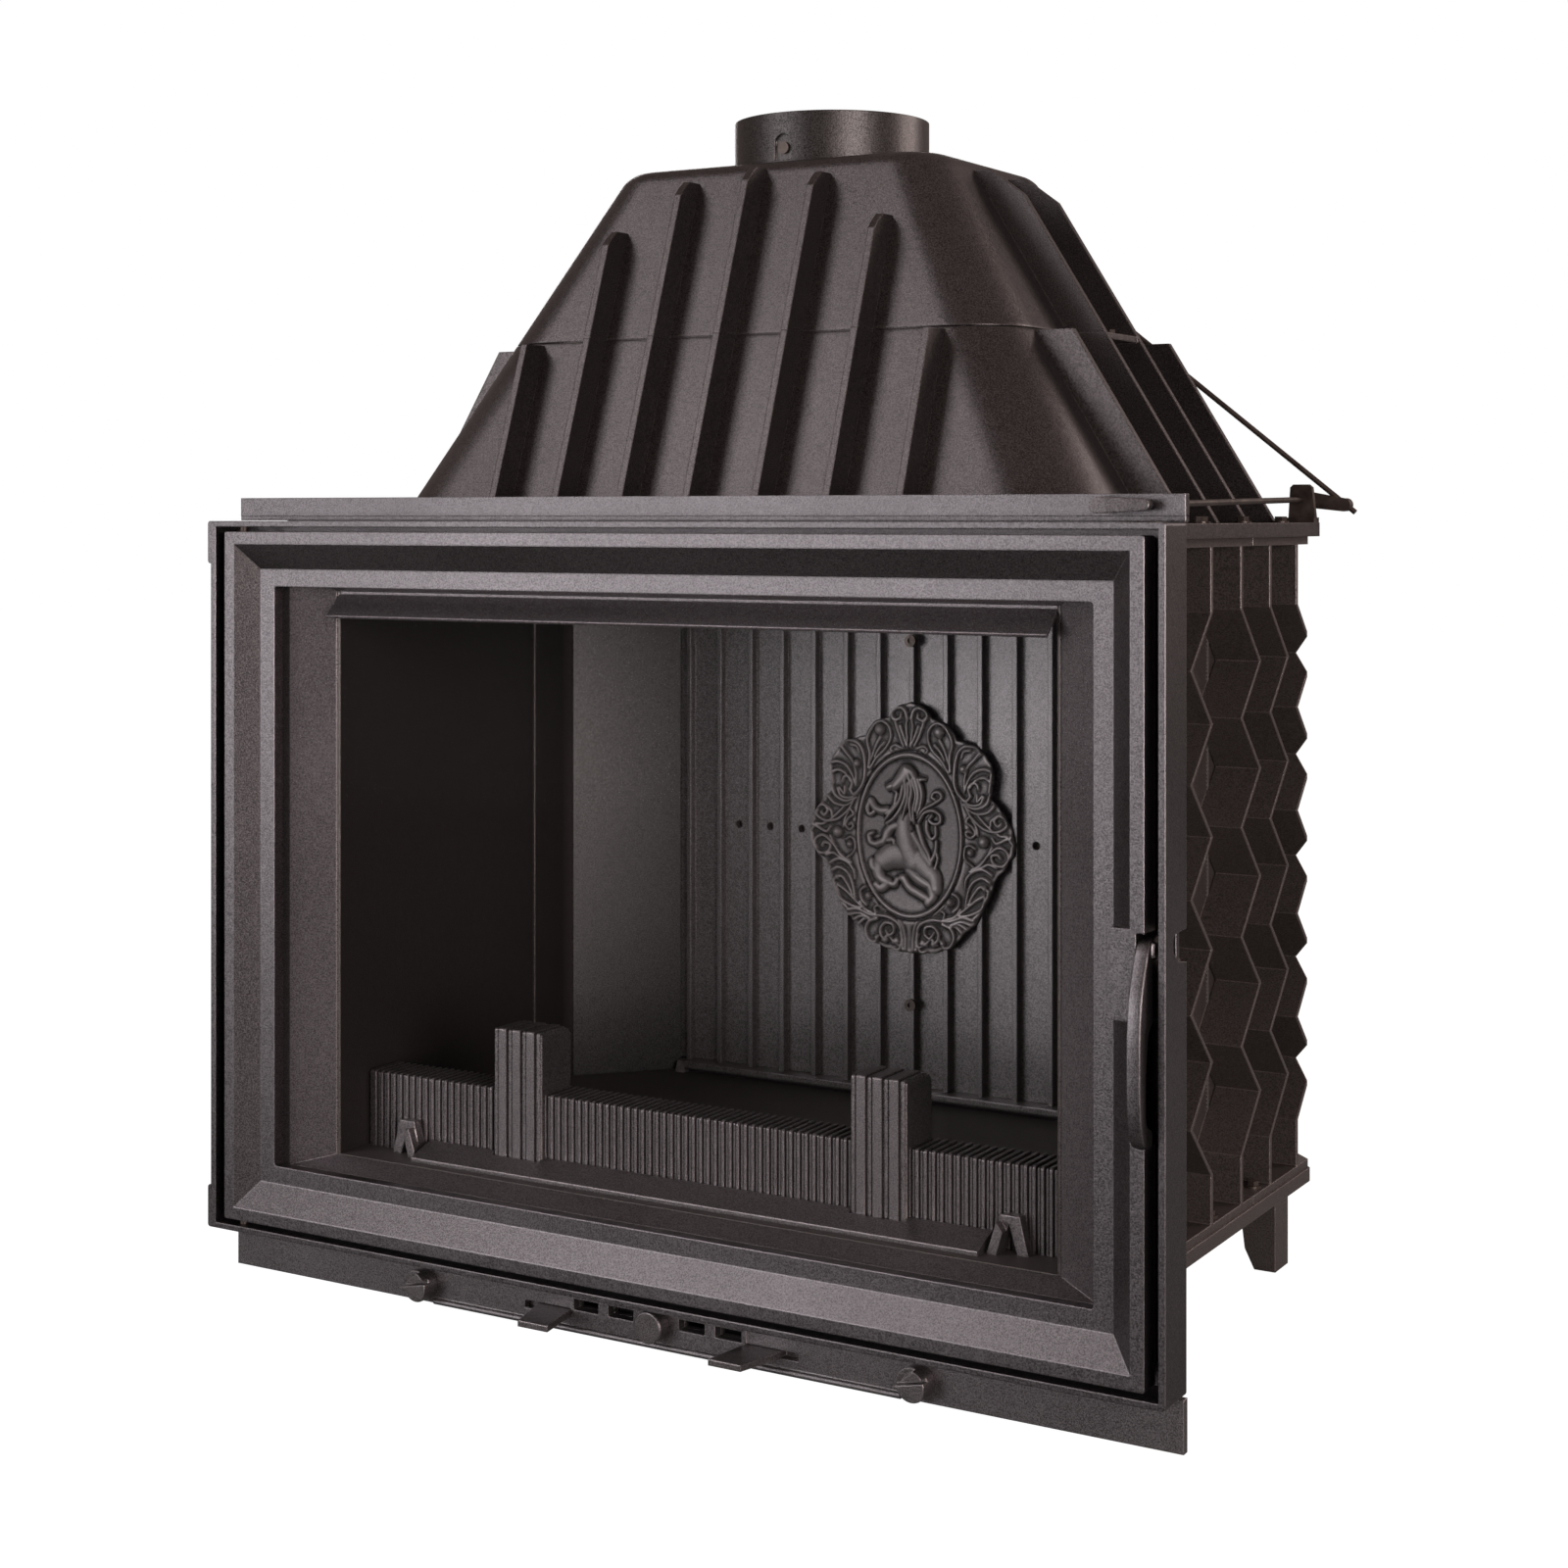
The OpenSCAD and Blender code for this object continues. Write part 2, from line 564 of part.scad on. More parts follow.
module crest_oval(x, z, thick, y) front_profile(y - thick, y) translate([0, crest_z]) scale([x, z]) circle(1);
module crest() color("#4a4340") {
    // a lobed cartouche whose sunk oval field has a raised rim
    fx = crest_w / 247;
    fz = crest_h / 271;
    difference() {
        union() {
            front_profile(crest_y - 4.5, crest_y) translate([0, crest_z]) scale([fx, fz]) {
                scale([0.72, 1]) circle(134);
                for (m = [-1, 1]) {
                    hull() {
                        translate([m * 114, -8]) circle(9.5);
                        translate([m * 82, 50]) circle(14);
                        translate([m * 82, -52]) circle(14);
                    }
                    translate([m * 83, 72]) circle(19);
                    translate([m * 52, 100]) circle(16);
                    translate([m * 24, 116]) circle(13);
                    translate([m * 74, -82]) circle(18);
                    translate([m * 46, -108]) circle(16);
                    translate([m * 22, -120]) circle(14);
                }
            }
            crest_oval(71 * fx, 95 * fz, 6.5, crest_y);
        }
        crest_oval(62.2 * fx, 86.6 * fz, 5, crest_y - 2);
    }
}

// Log fence with its posts, ramp and cleats.
module log_fence() color("#5d5655") difference() {
    reach = floor((fire_x - 6) / comb);
    top = hearth_z + fence_h;
    side_profile(-fire_x + 3, fire_x - 3) polygon([[fence_y, hearth_z], [fence_y, top - 2],
        [fence_y + 2, top], [fence_y + fence_t, top], [fence_y + fence_t, hearth_z]]);
    for (i = [-reach:reach - 1]) translate([(i + 0.5) * comb, 0, 0]) {
        flute(-comb / 2 + 1.5, -1, 4);
        flute(1, comb / 2 - 1.5, 4);
        flute(-1 - cut / 10, 1 + cut / 10, 1.6);
    }
    both() translate([post_x, 0, 0]) box(-post_w / 2 - seat, post_w / 2 + seat,
        fence_y - cut, fence_y + fence_t + cut, hearth_z - cut, top + cut);
}
// one flute down the fence's face and back over its top
module flute(x0, x1, deep) {
    box(x0, x1, fence_y - cut, fence_y + deep, hearth_z - cut, hearth_z + fence_h + cut);
    box(x0, x1, fence_y, fence_y + fence_t + cut, hearth_z + fence_h - deep, hearth_z + fence_h + cut);
}
module fence_post(x) color("#625b5a") translate([x, fence_y, hearth_z]) {
    side_profile(-post_w / 2, post_w / 2) polygon([[-3.5, 0], [-3.5, post_h - 3], [fence_t - 5, post_h - 3],
        [fence_t, post_h - 9], [fence_t, 0]]);
    for (i = [-1:1]) post_rib(i * post_w * 0.296, 4.5, 7.5);
    for (i = [-1.5:1:1.5]) post_rib(i * post_w * 0.296, 1.8, 5.5);
}
// one rib up the post's face and back over its top
module post_rib(x, half, out) {
    top = post_h - 3.5 + out / 2;
    side_profile(x - half, x + half) polygon([[-out, 0], [-out, top - 1.5], [-out + 1.5, top],
        [fence_t - 9, top], [fence_t - 6, post_h - 4], [0, post_h - 4], [0, 0]]);
}
module fence_post_right() fence_post(post_x);
module fence_post_left() fence_post(-post_x);
module ramp() color("#393331") difference() {
    side_profile(-fire_x + 80, fire_x - 80)
        polygon([[25, hearth_z], [25, hearth_z + 4], [fence_y - seat, hearth_z + 15],
        [fence_y - seat, hearth_z + 9], [37, hearth_z]]);
    both() translate([post_x, 0, 0])
        box(-post_w / 2 - seat, post_w / 2 + seat, fence_y - 8, fence_y + 9, hearth_z - cut, hearth_z + 20);
}
module cleat_right() color("#5f5857") translate([fire_x - 58.6, 0, 0]) {
    front_profile(fence_y - 11, fence_y - seat) polygon([[-17, hearth_z], [-9, hearth_z], [-1, hearth_z + 26],
        [7, hearth_z], [17, hearth_z], [9, hearth_z + 33], [-9, hearth_z + 33]]);
    front_profile(fence_y - 20, fence_y - 10) polygon([[-18, hearth_z], [-9, hearth_z], [-3, hearth_z + 20],
        [-9, hearth_z + 28]]);
}
module cleat_left() mirror([1, 0, 0]) cleat_right();
module smoke_baffle() color("#3d3735") translate([0, 0, shelf_z]) linear_extrude(8) intersection() {
    fire_plan(1);
    translate([-fire_x, baffle_y]) square([2 * fire_x, rear_y]);
}

// Door with its glass, hinge pins and handle.
module door_frame() color("#5f5959") difference() {
    union() {
        difference() {
            front_profile(front_y, edge_y) round_box(-door_x, door_x, door_z0, door_z1, 2);
            hull() {
                box(-door_x + bevel, door_x - bevel, front_y - 0.2, front_y,
                    door_z0 + bevel, door_z1 - bevel);
                box(-door_x + bevel + bevel_w, door_x - bevel - bevel_w, band_y - 0.2, band_y,
                    door_z0 + bevel + bevel_h, door_z1 - bevel - bevel_h);
            }
        }
        front_profile(edge_y - cut, door_y)
            round_box(-door_x + bevel, door_x - bevel - 2, door_z0 + bevel, door_z1 - bevel, 2);
        front_profile(front_y, edge_y) round_box(lever_x, door_x, pivot_z - 57, pivot_z + 17, 3);
    }
    front_profile(front_y - cut, door_y + cut) round_box(-open_x, open_x, open_z0, open_z1, 3);
    around_glass(9, glass_y, door_y + cut);
    rope_ring(0, door_y + cut);
    box(blade_x - seat, door_x + cut, front_y - cut, edge_y + cut, pivot_z - handle_l - 4, pivot_z + 14);
    rod_x(pivot_r + 0.02, blade_x - 18, blade_x, pivot_y, pivot_z);
    for (z = [door_z0 - cut, door_z1 - 18])
        translate([hinge_x, hinge_y, z]) cylinder(r = pin_r + run, h = 18 + cut);
}
// the door's opening made larger by grow on every side
module around_glass(grow, y0, y1) box(-open_x - grow, open_x + grow, y0, y1, open_z0 - grow, open_z1 + grow);
module rope_ring(slack, y1) difference() {
    around_glass(rope_gap + rope_w - slack, -16, y1);
    around_glass(rope_gap + slack, -17, y1 + cut);
}
module door_glass() color([0.2, 0.2, 0.22, 0.35]) around_glass(8.7, glass_y, glass_y + glass_t);
module glass_clips() color("#7a7574") for (x = [-0.7, 0, 0.7] * open_x) {
    box(x - 12, x + 12, glass_y + glass_t, splay_y - seat, open_z0 - 15, open_z0 - 2);
    box(x - 12, x + 12, glass_y + glass_t, splay_y - seat, open_z1 + 2, open_z1 + 15);
    box(x - 12, x + 12, door_y, glass_y + glass_t, open_z0 - 15, open_z0 - 9.2);
    box(x - 12, x + 12, door_y, glass_y + glass_t, open_z1 + 9.2, open_z1 + 15);
}
module door_rope() color("#5c5652") rope_ring(0.2, splay_y - seat);
module hinge_pins() color("#6d6765") translate([hinge_x, hinge_y, 0]) {
    translate([0, 0, frame_z0 + 1]) cylinder(r = pin_r, h = door_z0 + 16 - frame_z0);
    translate([0, 0, door_z1 - 17]) cylinder(r = pin_r, h = frame_z1 + 16 - door_z1);
}
module handle_lever() color("#6a6362") difference() {
    bow = 24;
    low = handle_l - 12;
    outer = [for (t = [0:0.1:1]) [front_y + 3 - bow * pow(sin(18 + 150 * t), 0.8), pivot_z + 2 - low * t]];
    inner = [for (t = [0:0.125:1]) [front_y - 4 - 9 * sin(180 * t), pivot_z - low + 8 + (low - 66) * t]];
    union() {
        side_profile(blade_x, blade_x + blade_w) difference() {
            polygon(concat([[front_y + 20, pivot_z + 12], [front_y + 3, pivot_z + 12]], outer,
                [[front_y - 2, pivot_z - handle_l], [front_y + 7, pivot_z - handle_l - 2],
                 [front_y + 8, pivot_z - handle_l + 6], [front_y + 20, pivot_z - 54]]));
            polygon(concat(inner, [[front_y + 30, pivot_z - 60], [front_y + 30, pivot_z - low - 4],
                [front_y + 1, pivot_z - low + 2]]));
        }
        side_profile(blade_x + blade_w - 3, rim_in - 4.6)
            polygon([[pivot_y - 3, pivot_z + 6], [pivot_y - 3, pivot_z - 6], [pivot_y + 8, pivot_z - 3],
                     [pivot_y + 19, pivot_z - 3], [pivot_y + 19, pivot_z + 3], [pivot_y + 8, pivot_z + 4]]);
    }
    rod_x(pivot_r + run, blade_x - cut, rim_in, pivot_y, pivot_z);
}
module handle_pin() color("#77706e") rod_x(pivot_r, blade_x - 18, rim_in - 4.6, pivot_y, pivot_z);

// Skirt and air controls.
module skirt_panel() color("#4f494a") difference() {
    union() {
        box(-half_w, half_w, skirt_y, skirt_y + skirt_t, skirt_z, skirt_top);
        box(-96, 96, skirt_y - 2, skirt_y, skirt_z + 5.7, skirt_top - 6);
        rod_x(3, -knob_x + 12, knob_x - 17, skirt_y, skirt_z + 2);
        for (z = [slot_z - 4, vent_z1 + 3.3])
            box(-guide_x, guide_x, skirt_y + skirt_t, skirt_y + skirt_t + 4, z, z + 3);
    }
    vents();
    both() box(slot_x0, slot_x1, skirt_y - 3, skirt_y + skirt_t + cut, slot_z, vent_z0 - 0.4);
    rod_y(4 + run, skirt_y - 5, skirt_y + skirt_t + cut, 0, control_z);
    both() rod_y(4 + run, skirt_y - cut, skirt_y + skirt_t + cut, knob_x, turn_z);
}
module vents() both() for (x = vent_x) box(x, x + vent_w, skirt_y - 3, skirt_y + 20, vent_z0, vent_z1);
module back_strip() color("#3a3535") difference() {
    box(-guide_x, guide_x, skirt_y + skirt_t + 4, skirt_y + skirt_t + 6.5, slot_z - 4, vent_z1 + 6.3);
    vents();
    rod_y(4 + run, skirt_y, skirt_y + 20, 0, control_z);
}
module air_slide() color("#524b4a") difference() {
    union() {
        box(16, slot_x1 + 4, slide_y, slide_y + slide_t, slot_z - 0.7, vent_z1 + 3);
        hull() {
            box(slot_x0 + 2.6, slot_x1 - 17, skirt_y - 2, slide_y + 0.8, slot_z + 0.4, vent_z0 - 0.8);
            box(slot_x0 - 7.4, slot_x1 - 29, skirt_y - 50, skirt_y - 49, slot_z + 0.8, vent_z0 - 1.2);
        }
    }
    vents();
}
module air_slide_right() air_slide();
module air_slide_left() mirror([1, 0, 0]) air_slide();
module turn_knob(x) color("#4d4645") translate([x, skirt_y, turn_z]) {
    difference() {
        rod_y(knob_d / 2, -20, -0.3);
        rotate([0, -12, 0]) box(-20, 20, -21, -12, 2, 5);
        rotate([0, -40, 0]) box(-20, 20, -21, -14, 8, 20);
        rotate([0, 20, 0]) box(-20, 20, -21, -14, -20, -7);
    }
    rod_y(4, -0.4, skirt_t + 5);
    box(-16, 16, skirt_t + 0.3, skirt_t + 4, -5, 5);
}
module turn_knob_right() turn_knob(knob_x);
module turn_knob_left() turn_knob(-knob_x);
module pull_knob() color("#514a49") translate([0, skirt_y, control_z]) {
    translate([0, -2.3, 0]) rotate([90, 0, 0]) cylinder(r = 14.6, h = 13.7);
    translate([0, -16, 0]) rotate([90, 0, 0]) cylinder(r1 = 14.6, r2 = 13.4, h = 1.2);
}
module air_valve() color("#6f6866") translate([0, 0, control_z]) {
    rod_y(4, skirt_y - 2.3, ash_y0 - 2.5);
    rod_y(17, ash_y0 - 3.8, ash_y0 - 0.8);
}

// Smoke damper: knob, shaft, arm, link, crank and flap.
module damper_knob() color("#6b6463") at_shaft() difference() {
    hull() {
        rod_y(6.9, -17, -5, -38, 0);
        rod_y(4.6, -16, -5, 1, 0);
    }
    rod_y(shaft_r, -10, 0);
}
module damper_shaft() color("#7a6b62") at_shaft() rod_y(shaft_r, -10, arm_y + arm_t);
module arm_shape(bore) difference() {
    rotate([0, arm_drop, 0]) {
        hull() {
            rod_y(8, arm_y, arm_y + arm_t);
            rod_y(6.5, arm_y, arm_y + arm_t, arm_r);
        }
        rod_y(3.4, arm_y + arm_t - cut, arm_y + arm_t + 9.5, arm_r);
    }
    rod_y(bore, arm_y - 5, arm_y + 20);
}
module damper_arm() color("#66594f") at_shaft() arm_shape(shaft_r);
module flap_crank() color("#66594f") at_shaft() translate([flap_x, 0, flap_z]) arm_shape(axle_r);
module link_rod() color("#6d5f55") at_shaft()
translate([arm_r * cos(arm_drop), arm_y + arm_t + 4.5, -arm_r * sin(arm_drop)]) {
    reach = norm([flap_x, flap_z]);
    difference() {
        union() {
            rotate([0, atan2(flap_x, flap_z), 0]) translate([0, 0, -12]) cylinder(r = 2.7, h = reach + 12);
            rod_y(6.5, -4, 4);
            rod_y(6.5, -4, 4, flap_x, flap_z);
        }
        rod_y(3.4 + run, -5, 5);
        rod_y(3.4 + run, -5, 5, flap_x, flap_z);
    }
}
module shaft_bracket() color("#54483f") difference() {
    union() {
        at_shaft() translate([0, body_d - 64, 0]) front_profile(0, 8)
            polygon([[-12, -20], [15, -20], [11.5, 12], [8, 15], [-7, 15], [-10, 12]]);
        translate([shaft_x - 38, 0, 0]) box(-14, 17, body_d - 68, body_d - 52, top_z, top_z + 5);
    }
    at_shaft() rod_y(shaft_r + run, body_d - 80, body_d);
    box(shaft_x - 90, shaft_x + 20, body_d - 90, body_d, top_z - 20, top_z);
}
module flap_axle() color("#66605d") at_shaft() rod_y(axle_r, flap_y - 114, arm_y + arm_t + 2, flap_x, flap_z);
module throat_flap() color("#3b3533") at_shaft() translate([flap_x, 0, flap_z]) difference() {
    rotate([0, -flap_hang, 0]) {
        translate([-flap_mid, flap_y, -1]) cylinder(r = flap_r, h = 6);
        box(-60, 0, flap_y - 60, flap_y + 60, -1, 5);
        rod_y(8, flap_y - 60, flap_y + 60);
    }
    rod_y(axle_r, flap_y - 130, flap_y + 130);
}

module placed() translate([0, -middle_y, 0]) children();
placed() base_plate();
placed() front_feet();
placed() rear_feet();
placed() side_front_right();
placed() side_front_left();
placed() side_rear_right();
placed() side_rear_left();
placed() joint_ropes();
placed() rear_wall();
placed() casting_bolts();
placed() top_plate();
placed() top_bar();
placed() hood_lower();
placed() hood_upper();
placed() throat_plate();
placed() flue_collar();
placed() screws();
placed() front_frame();
placed() fire_surround();
placed() deflector();
placed() hearth_plate();
placed() grate();
placed() grate_rest();
placed() ash_box();
placed() ash_pan();
placed() back_lining();
placed() back_lip();
placed() corner_lining_right();
placed() corner_lining_left();
placed() crest();
placed() log_fence();
placed() fence_post_right();
placed() fence_post_left();
placed() ramp();
placed() cleat_right();
placed() cleat_left();
placed() smoke_baffle();
placed() door_frame();
placed() door_glass();
placed() glass_clips();
placed() door_rope();
placed() hinge_pins();
placed() handle_lever();
placed() handle_pin();
placed() skirt_panel();
placed() back_strip();
placed() air_slide_right();
placed() air_slide_left();
placed() turn_knob_right();
placed() turn_knob_left();
placed() pull_knob();
placed() air_valve();
placed() damper_knob();
placed() damper_shaft();
placed() damper_arm();
placed() link_rod();
placed() flap_crank();
placed() flap_axle();
placed() throat_flap();
placed() shaft_bracket();
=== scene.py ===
"""Cast iron fireplace insert: finishes, carved and rounded pieces, camera and studio."""
import math

import bpy
import numpy as np
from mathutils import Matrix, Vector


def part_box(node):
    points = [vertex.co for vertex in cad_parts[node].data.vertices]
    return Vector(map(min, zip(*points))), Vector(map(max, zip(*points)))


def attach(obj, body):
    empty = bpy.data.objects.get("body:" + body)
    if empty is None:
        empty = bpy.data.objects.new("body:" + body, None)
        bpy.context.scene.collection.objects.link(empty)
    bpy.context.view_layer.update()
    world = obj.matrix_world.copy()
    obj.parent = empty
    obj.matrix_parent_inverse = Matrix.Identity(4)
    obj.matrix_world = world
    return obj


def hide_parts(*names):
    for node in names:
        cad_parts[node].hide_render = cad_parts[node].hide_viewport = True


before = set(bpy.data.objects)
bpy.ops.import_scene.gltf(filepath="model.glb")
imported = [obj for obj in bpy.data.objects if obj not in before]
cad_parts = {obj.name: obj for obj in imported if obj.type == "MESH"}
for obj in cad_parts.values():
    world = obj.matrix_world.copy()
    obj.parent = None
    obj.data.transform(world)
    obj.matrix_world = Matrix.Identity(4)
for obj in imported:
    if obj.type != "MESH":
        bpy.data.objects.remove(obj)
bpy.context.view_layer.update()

# The view: an upright camera at the front right, level with the upper part of the door.
# The lens is shifted down so that upright edges stay upright, as in the photograph.
PHOTO_WIDTH = 1600
LENS_PIXELS = 2530.0
HORIZON_ROW = 527.0
SENSOR = 36.0
EYE = (1.2372, -2.1185, 0.7555)
EYE_TURN = 30.5
FARTHEST = 50


def stand(name, data):
    """Puts a camera, lamp or mesh into the scene as an object, unturned and at the origin."""
    item = bpy.data.objects.new(name, data)
    bpy.context.scene.collection.objects.link(item)
    return item


eye = stand("photo_camera", bpy.data.cameras.new("photo_camera"))
eye.location = EYE
eye.rotation_euler = (math.radians(90), 0, math.radians(EYE_TURN))
eye.data.sensor_width = SENSOR
eye.data.lens = LENS_PIXELS / PHOTO_WIDTH * SENSOR
eye.data.shift_y = (HORIZON_ROW - PHOTO_WIDTH / 2) / PHOTO_WIDTH
eye.data.clip_end = FARTHEST
bpy.context.scene.camera = eye
bpy.context.scene.view_settings.view_transform = "Standard"


# The studio: a pale floor, a white backdrop that only the camera, gloss and glass see, and lamps.
# The broad main lamp stands at the front left at door height, the others high, right and behind.
class Wire:
    """A node socket that Python's operators work on; each operation adds one Math node."""

    def __init__(self, tree, socket):
        self.tree = tree
        self.socket = socket

    def make(self, kind, settings=None, sockets=None, out=0):
        """Adds a node, sets its settings first and then its sockets, and returns one output."""
        node = self.tree.nodes.new(kind)
        for key, value in (settings or {}).items():
            setattr(node, key, value)
        for key, value in (sockets or {}).items():
            if isinstance(value, Wire):
                self.tree.links.new(value.socket, node.inputs[key])
            else:
                node.inputs[key].default_value = value
        return Wire(self.tree, node.outputs[out])

    def maths(self, operation, *values):
        """One Math node over sockets and numbers."""
        return self.make("ShaderNodeMath", {"operation": operation}, dict(enumerate(values)))

    def __add__(self, other):
        return self.maths("ADD", self, other)

    def __sub__(self, other):
        return self.maths("SUBTRACT", self, other)

    def __rsub__(self, other):
        return self.maths("SUBTRACT", other, self)

    def __mul__(self, other):
        return self.maths("MULTIPLY", self, other)

    __radd__ = __add__
    __rmul__ = __mul__

    def clamped(self):
        return self.maths("MINIMUM", self.maths("MAXIMUM", self, 0.0), 1.0)

    def between(self, low, high):
        """A colour from low at 0 to high at 1."""
        return self.make("ShaderNodeMix", {"data_type": "RGBA"}, {0: self, 6: low, 7: high}, out=2)

    def into(self, socket):
        self.tree.links.new(self.socket, socket)


def new_material(name):
    """An empty node material: (material, a Wire to build from, its Principled shader)."""
    material = bpy.data.materials.new(name)
    material.use_nodes = True
    tree = material.node_tree
    shader = tree.nodes["Principled BSDF"]
    return material, Wire(tree, shader.outputs[0]), shader


AMBIENT = 0.15
GLOSSY_SHARE = 0.05
WARM_ROOM = (1.0, 0.80, 0.745, 1)
WHITE = (1, 1, 1, 1)
world = bpy.data.worlds.new("studio")
bpy.context.scene.world = world
world.use_nodes = True
backdrop = world.node_tree.nodes["Background"]
start = Wire(world.node_tree, backdrop.outputs[0])
seen = start.make("ShaderNodeLightPath", out="Is Camera Ray")
through = start.make("ShaderNodeLightPath", out="Is Transmission Ray")
gloss = start.make("ShaderNodeLightPath", out="Is Glossy Ray")
bright = (seen + through).clamped()
bright.between(WARM_ROOM, WHITE).into(backdrop.inputs["Color"])
strength = bright * (1.0 - AMBIENT) + gloss * GLOSSY_SHARE + AMBIENT
strength.clamped().into(backdrop.inputs["Strength"])

FLOOR_REACH = 14
FLOOR_DARK = (0.19, 0.185, 0.185, 1)
FLOOR_PALE = (0.21, 0.205, 0.205, 1)
FLOOR_SHOWN = (0.98, 0.98, 0.98, 1)
BLACK = (0, 0, 0, 1)
floor_mesh = bpy.data.meshes.new("floor")
square = ((-1, -1), (1, -1), (1, 1), (-1, 1))
floor_mesh.from_pydata([(x * FLOOR_REACH, y * FLOOR_REACH, 0) for x, y in square], [],
                       [(0, 1, 2, 3)])
floor = stand("floor", floor_mesh)
pale, wire, shader = new_material("floor_pale")
place = wire.make("ShaderNodeTexCoord", out="Object")
cloud = wire.make("ShaderNodeTexNoise", None, {"Vector": place, "Scale": 2.0, "Detail": 3.0})
cloud.between(FLOOR_DARK, FLOOR_PALE).into(shader.inputs["Base Color"])
seen = wire.make("ShaderNodeLightPath", out="Is Camera Ray")
gloss = wire.make("ShaderNodeLightPath", out="Is Glossy Ray")
(seen + gloss * GLOSSY_SHARE).between(BLACK, FLOOR_SHOWN).into(shader.inputs["Emission Color"])
shader.inputs["Emission Strength"].default_value = 1.0
shader.inputs["Roughness"].default_value = 0.9
shader.inputs["Specular IOR Level"].default_value = 0.1
floor_mesh.materials.append(pale)


def lamp(name, place, aim, size, watts, tint):
    """A rectangular area lamp of that width and height at place, turned to face aim."""
    data = bpy.data.lights.new(name, "AREA")
    data.shape = "RECTANGLE"
    data.size, data.size_y = size
    data.energy = watts
    data.color = tint
    item = stand(name, data)
    item.location = place
    towards = Vector(aim) - item.location
    item.rotation_euler = towards.to_track_quat("-Z", "Y").to_euler()


lamp("key_lamp", (-2.15, -3.7, 0.72), (0, 0, 0.55), (2.8, 1.4), 52, (0.94, 0.965, 1.0))
lamp("high_lamp", (-2.1, -3.0, 3.1), (0, -0.1, 0.9), (1.5, 1.5), 32, (0.96, 0.97, 1.0))
lamp("right_lamp", (3.6, -2.5, 0.9), (0, -0.1, 0.6), (2.2, 1.8), 105, (1.0, 0.945, 0.93))
lamp("rear_right_lamp", (2.6, 2.4, 2.2), (0.2, 0, 0.8), (1.6, 1.6), 46, (1.0, 0.90, 0.86))
lamp("back_lamp", (-2.2, 3.2, 1.8), (0, 0, 0.7), (1.8, 1.8), 40, (1.0, 0.97, 0.96))


# Base plate and feet: grey iron sand castings, sprayed with near-black stove paint.
# The feet are bolted under the corners of the plate.
PITS_COARSER, CLOUDS_PER_METRE = 5.5, 5.0
SAND_CONTRAST, PIT_CONTRAST, CLOUD_CONTRAST = 3.8, 0.35, 0.35
SAND_ROUGH, CLOUD_ROUGH, EDGE_SMOOTH = 0.3, 0.16, 0.08
SAND_HEIGHT, PIT_HEIGHT, GRAIN_DEPTH = 0.7, 0.6, 0.0005
EDGE_RADIUS, EDGE_HIGHLIGHT_GAIN, GLINT = 0.0018, 7.0, 1.7
CARVED_SHARE, CARVED_LOSS = 0.25, 0.12
# The near black of the firebox walls and the share of it laid over the paint: painted shade.
FIREBOX_SHADE = (0.026, 0.021, 0.020, 1)
FIREBOX_SHADE_COVER, SIDE_FADE_PER_METRE, REAR_FADE_PER_METRE = 0.8, 2000, 50


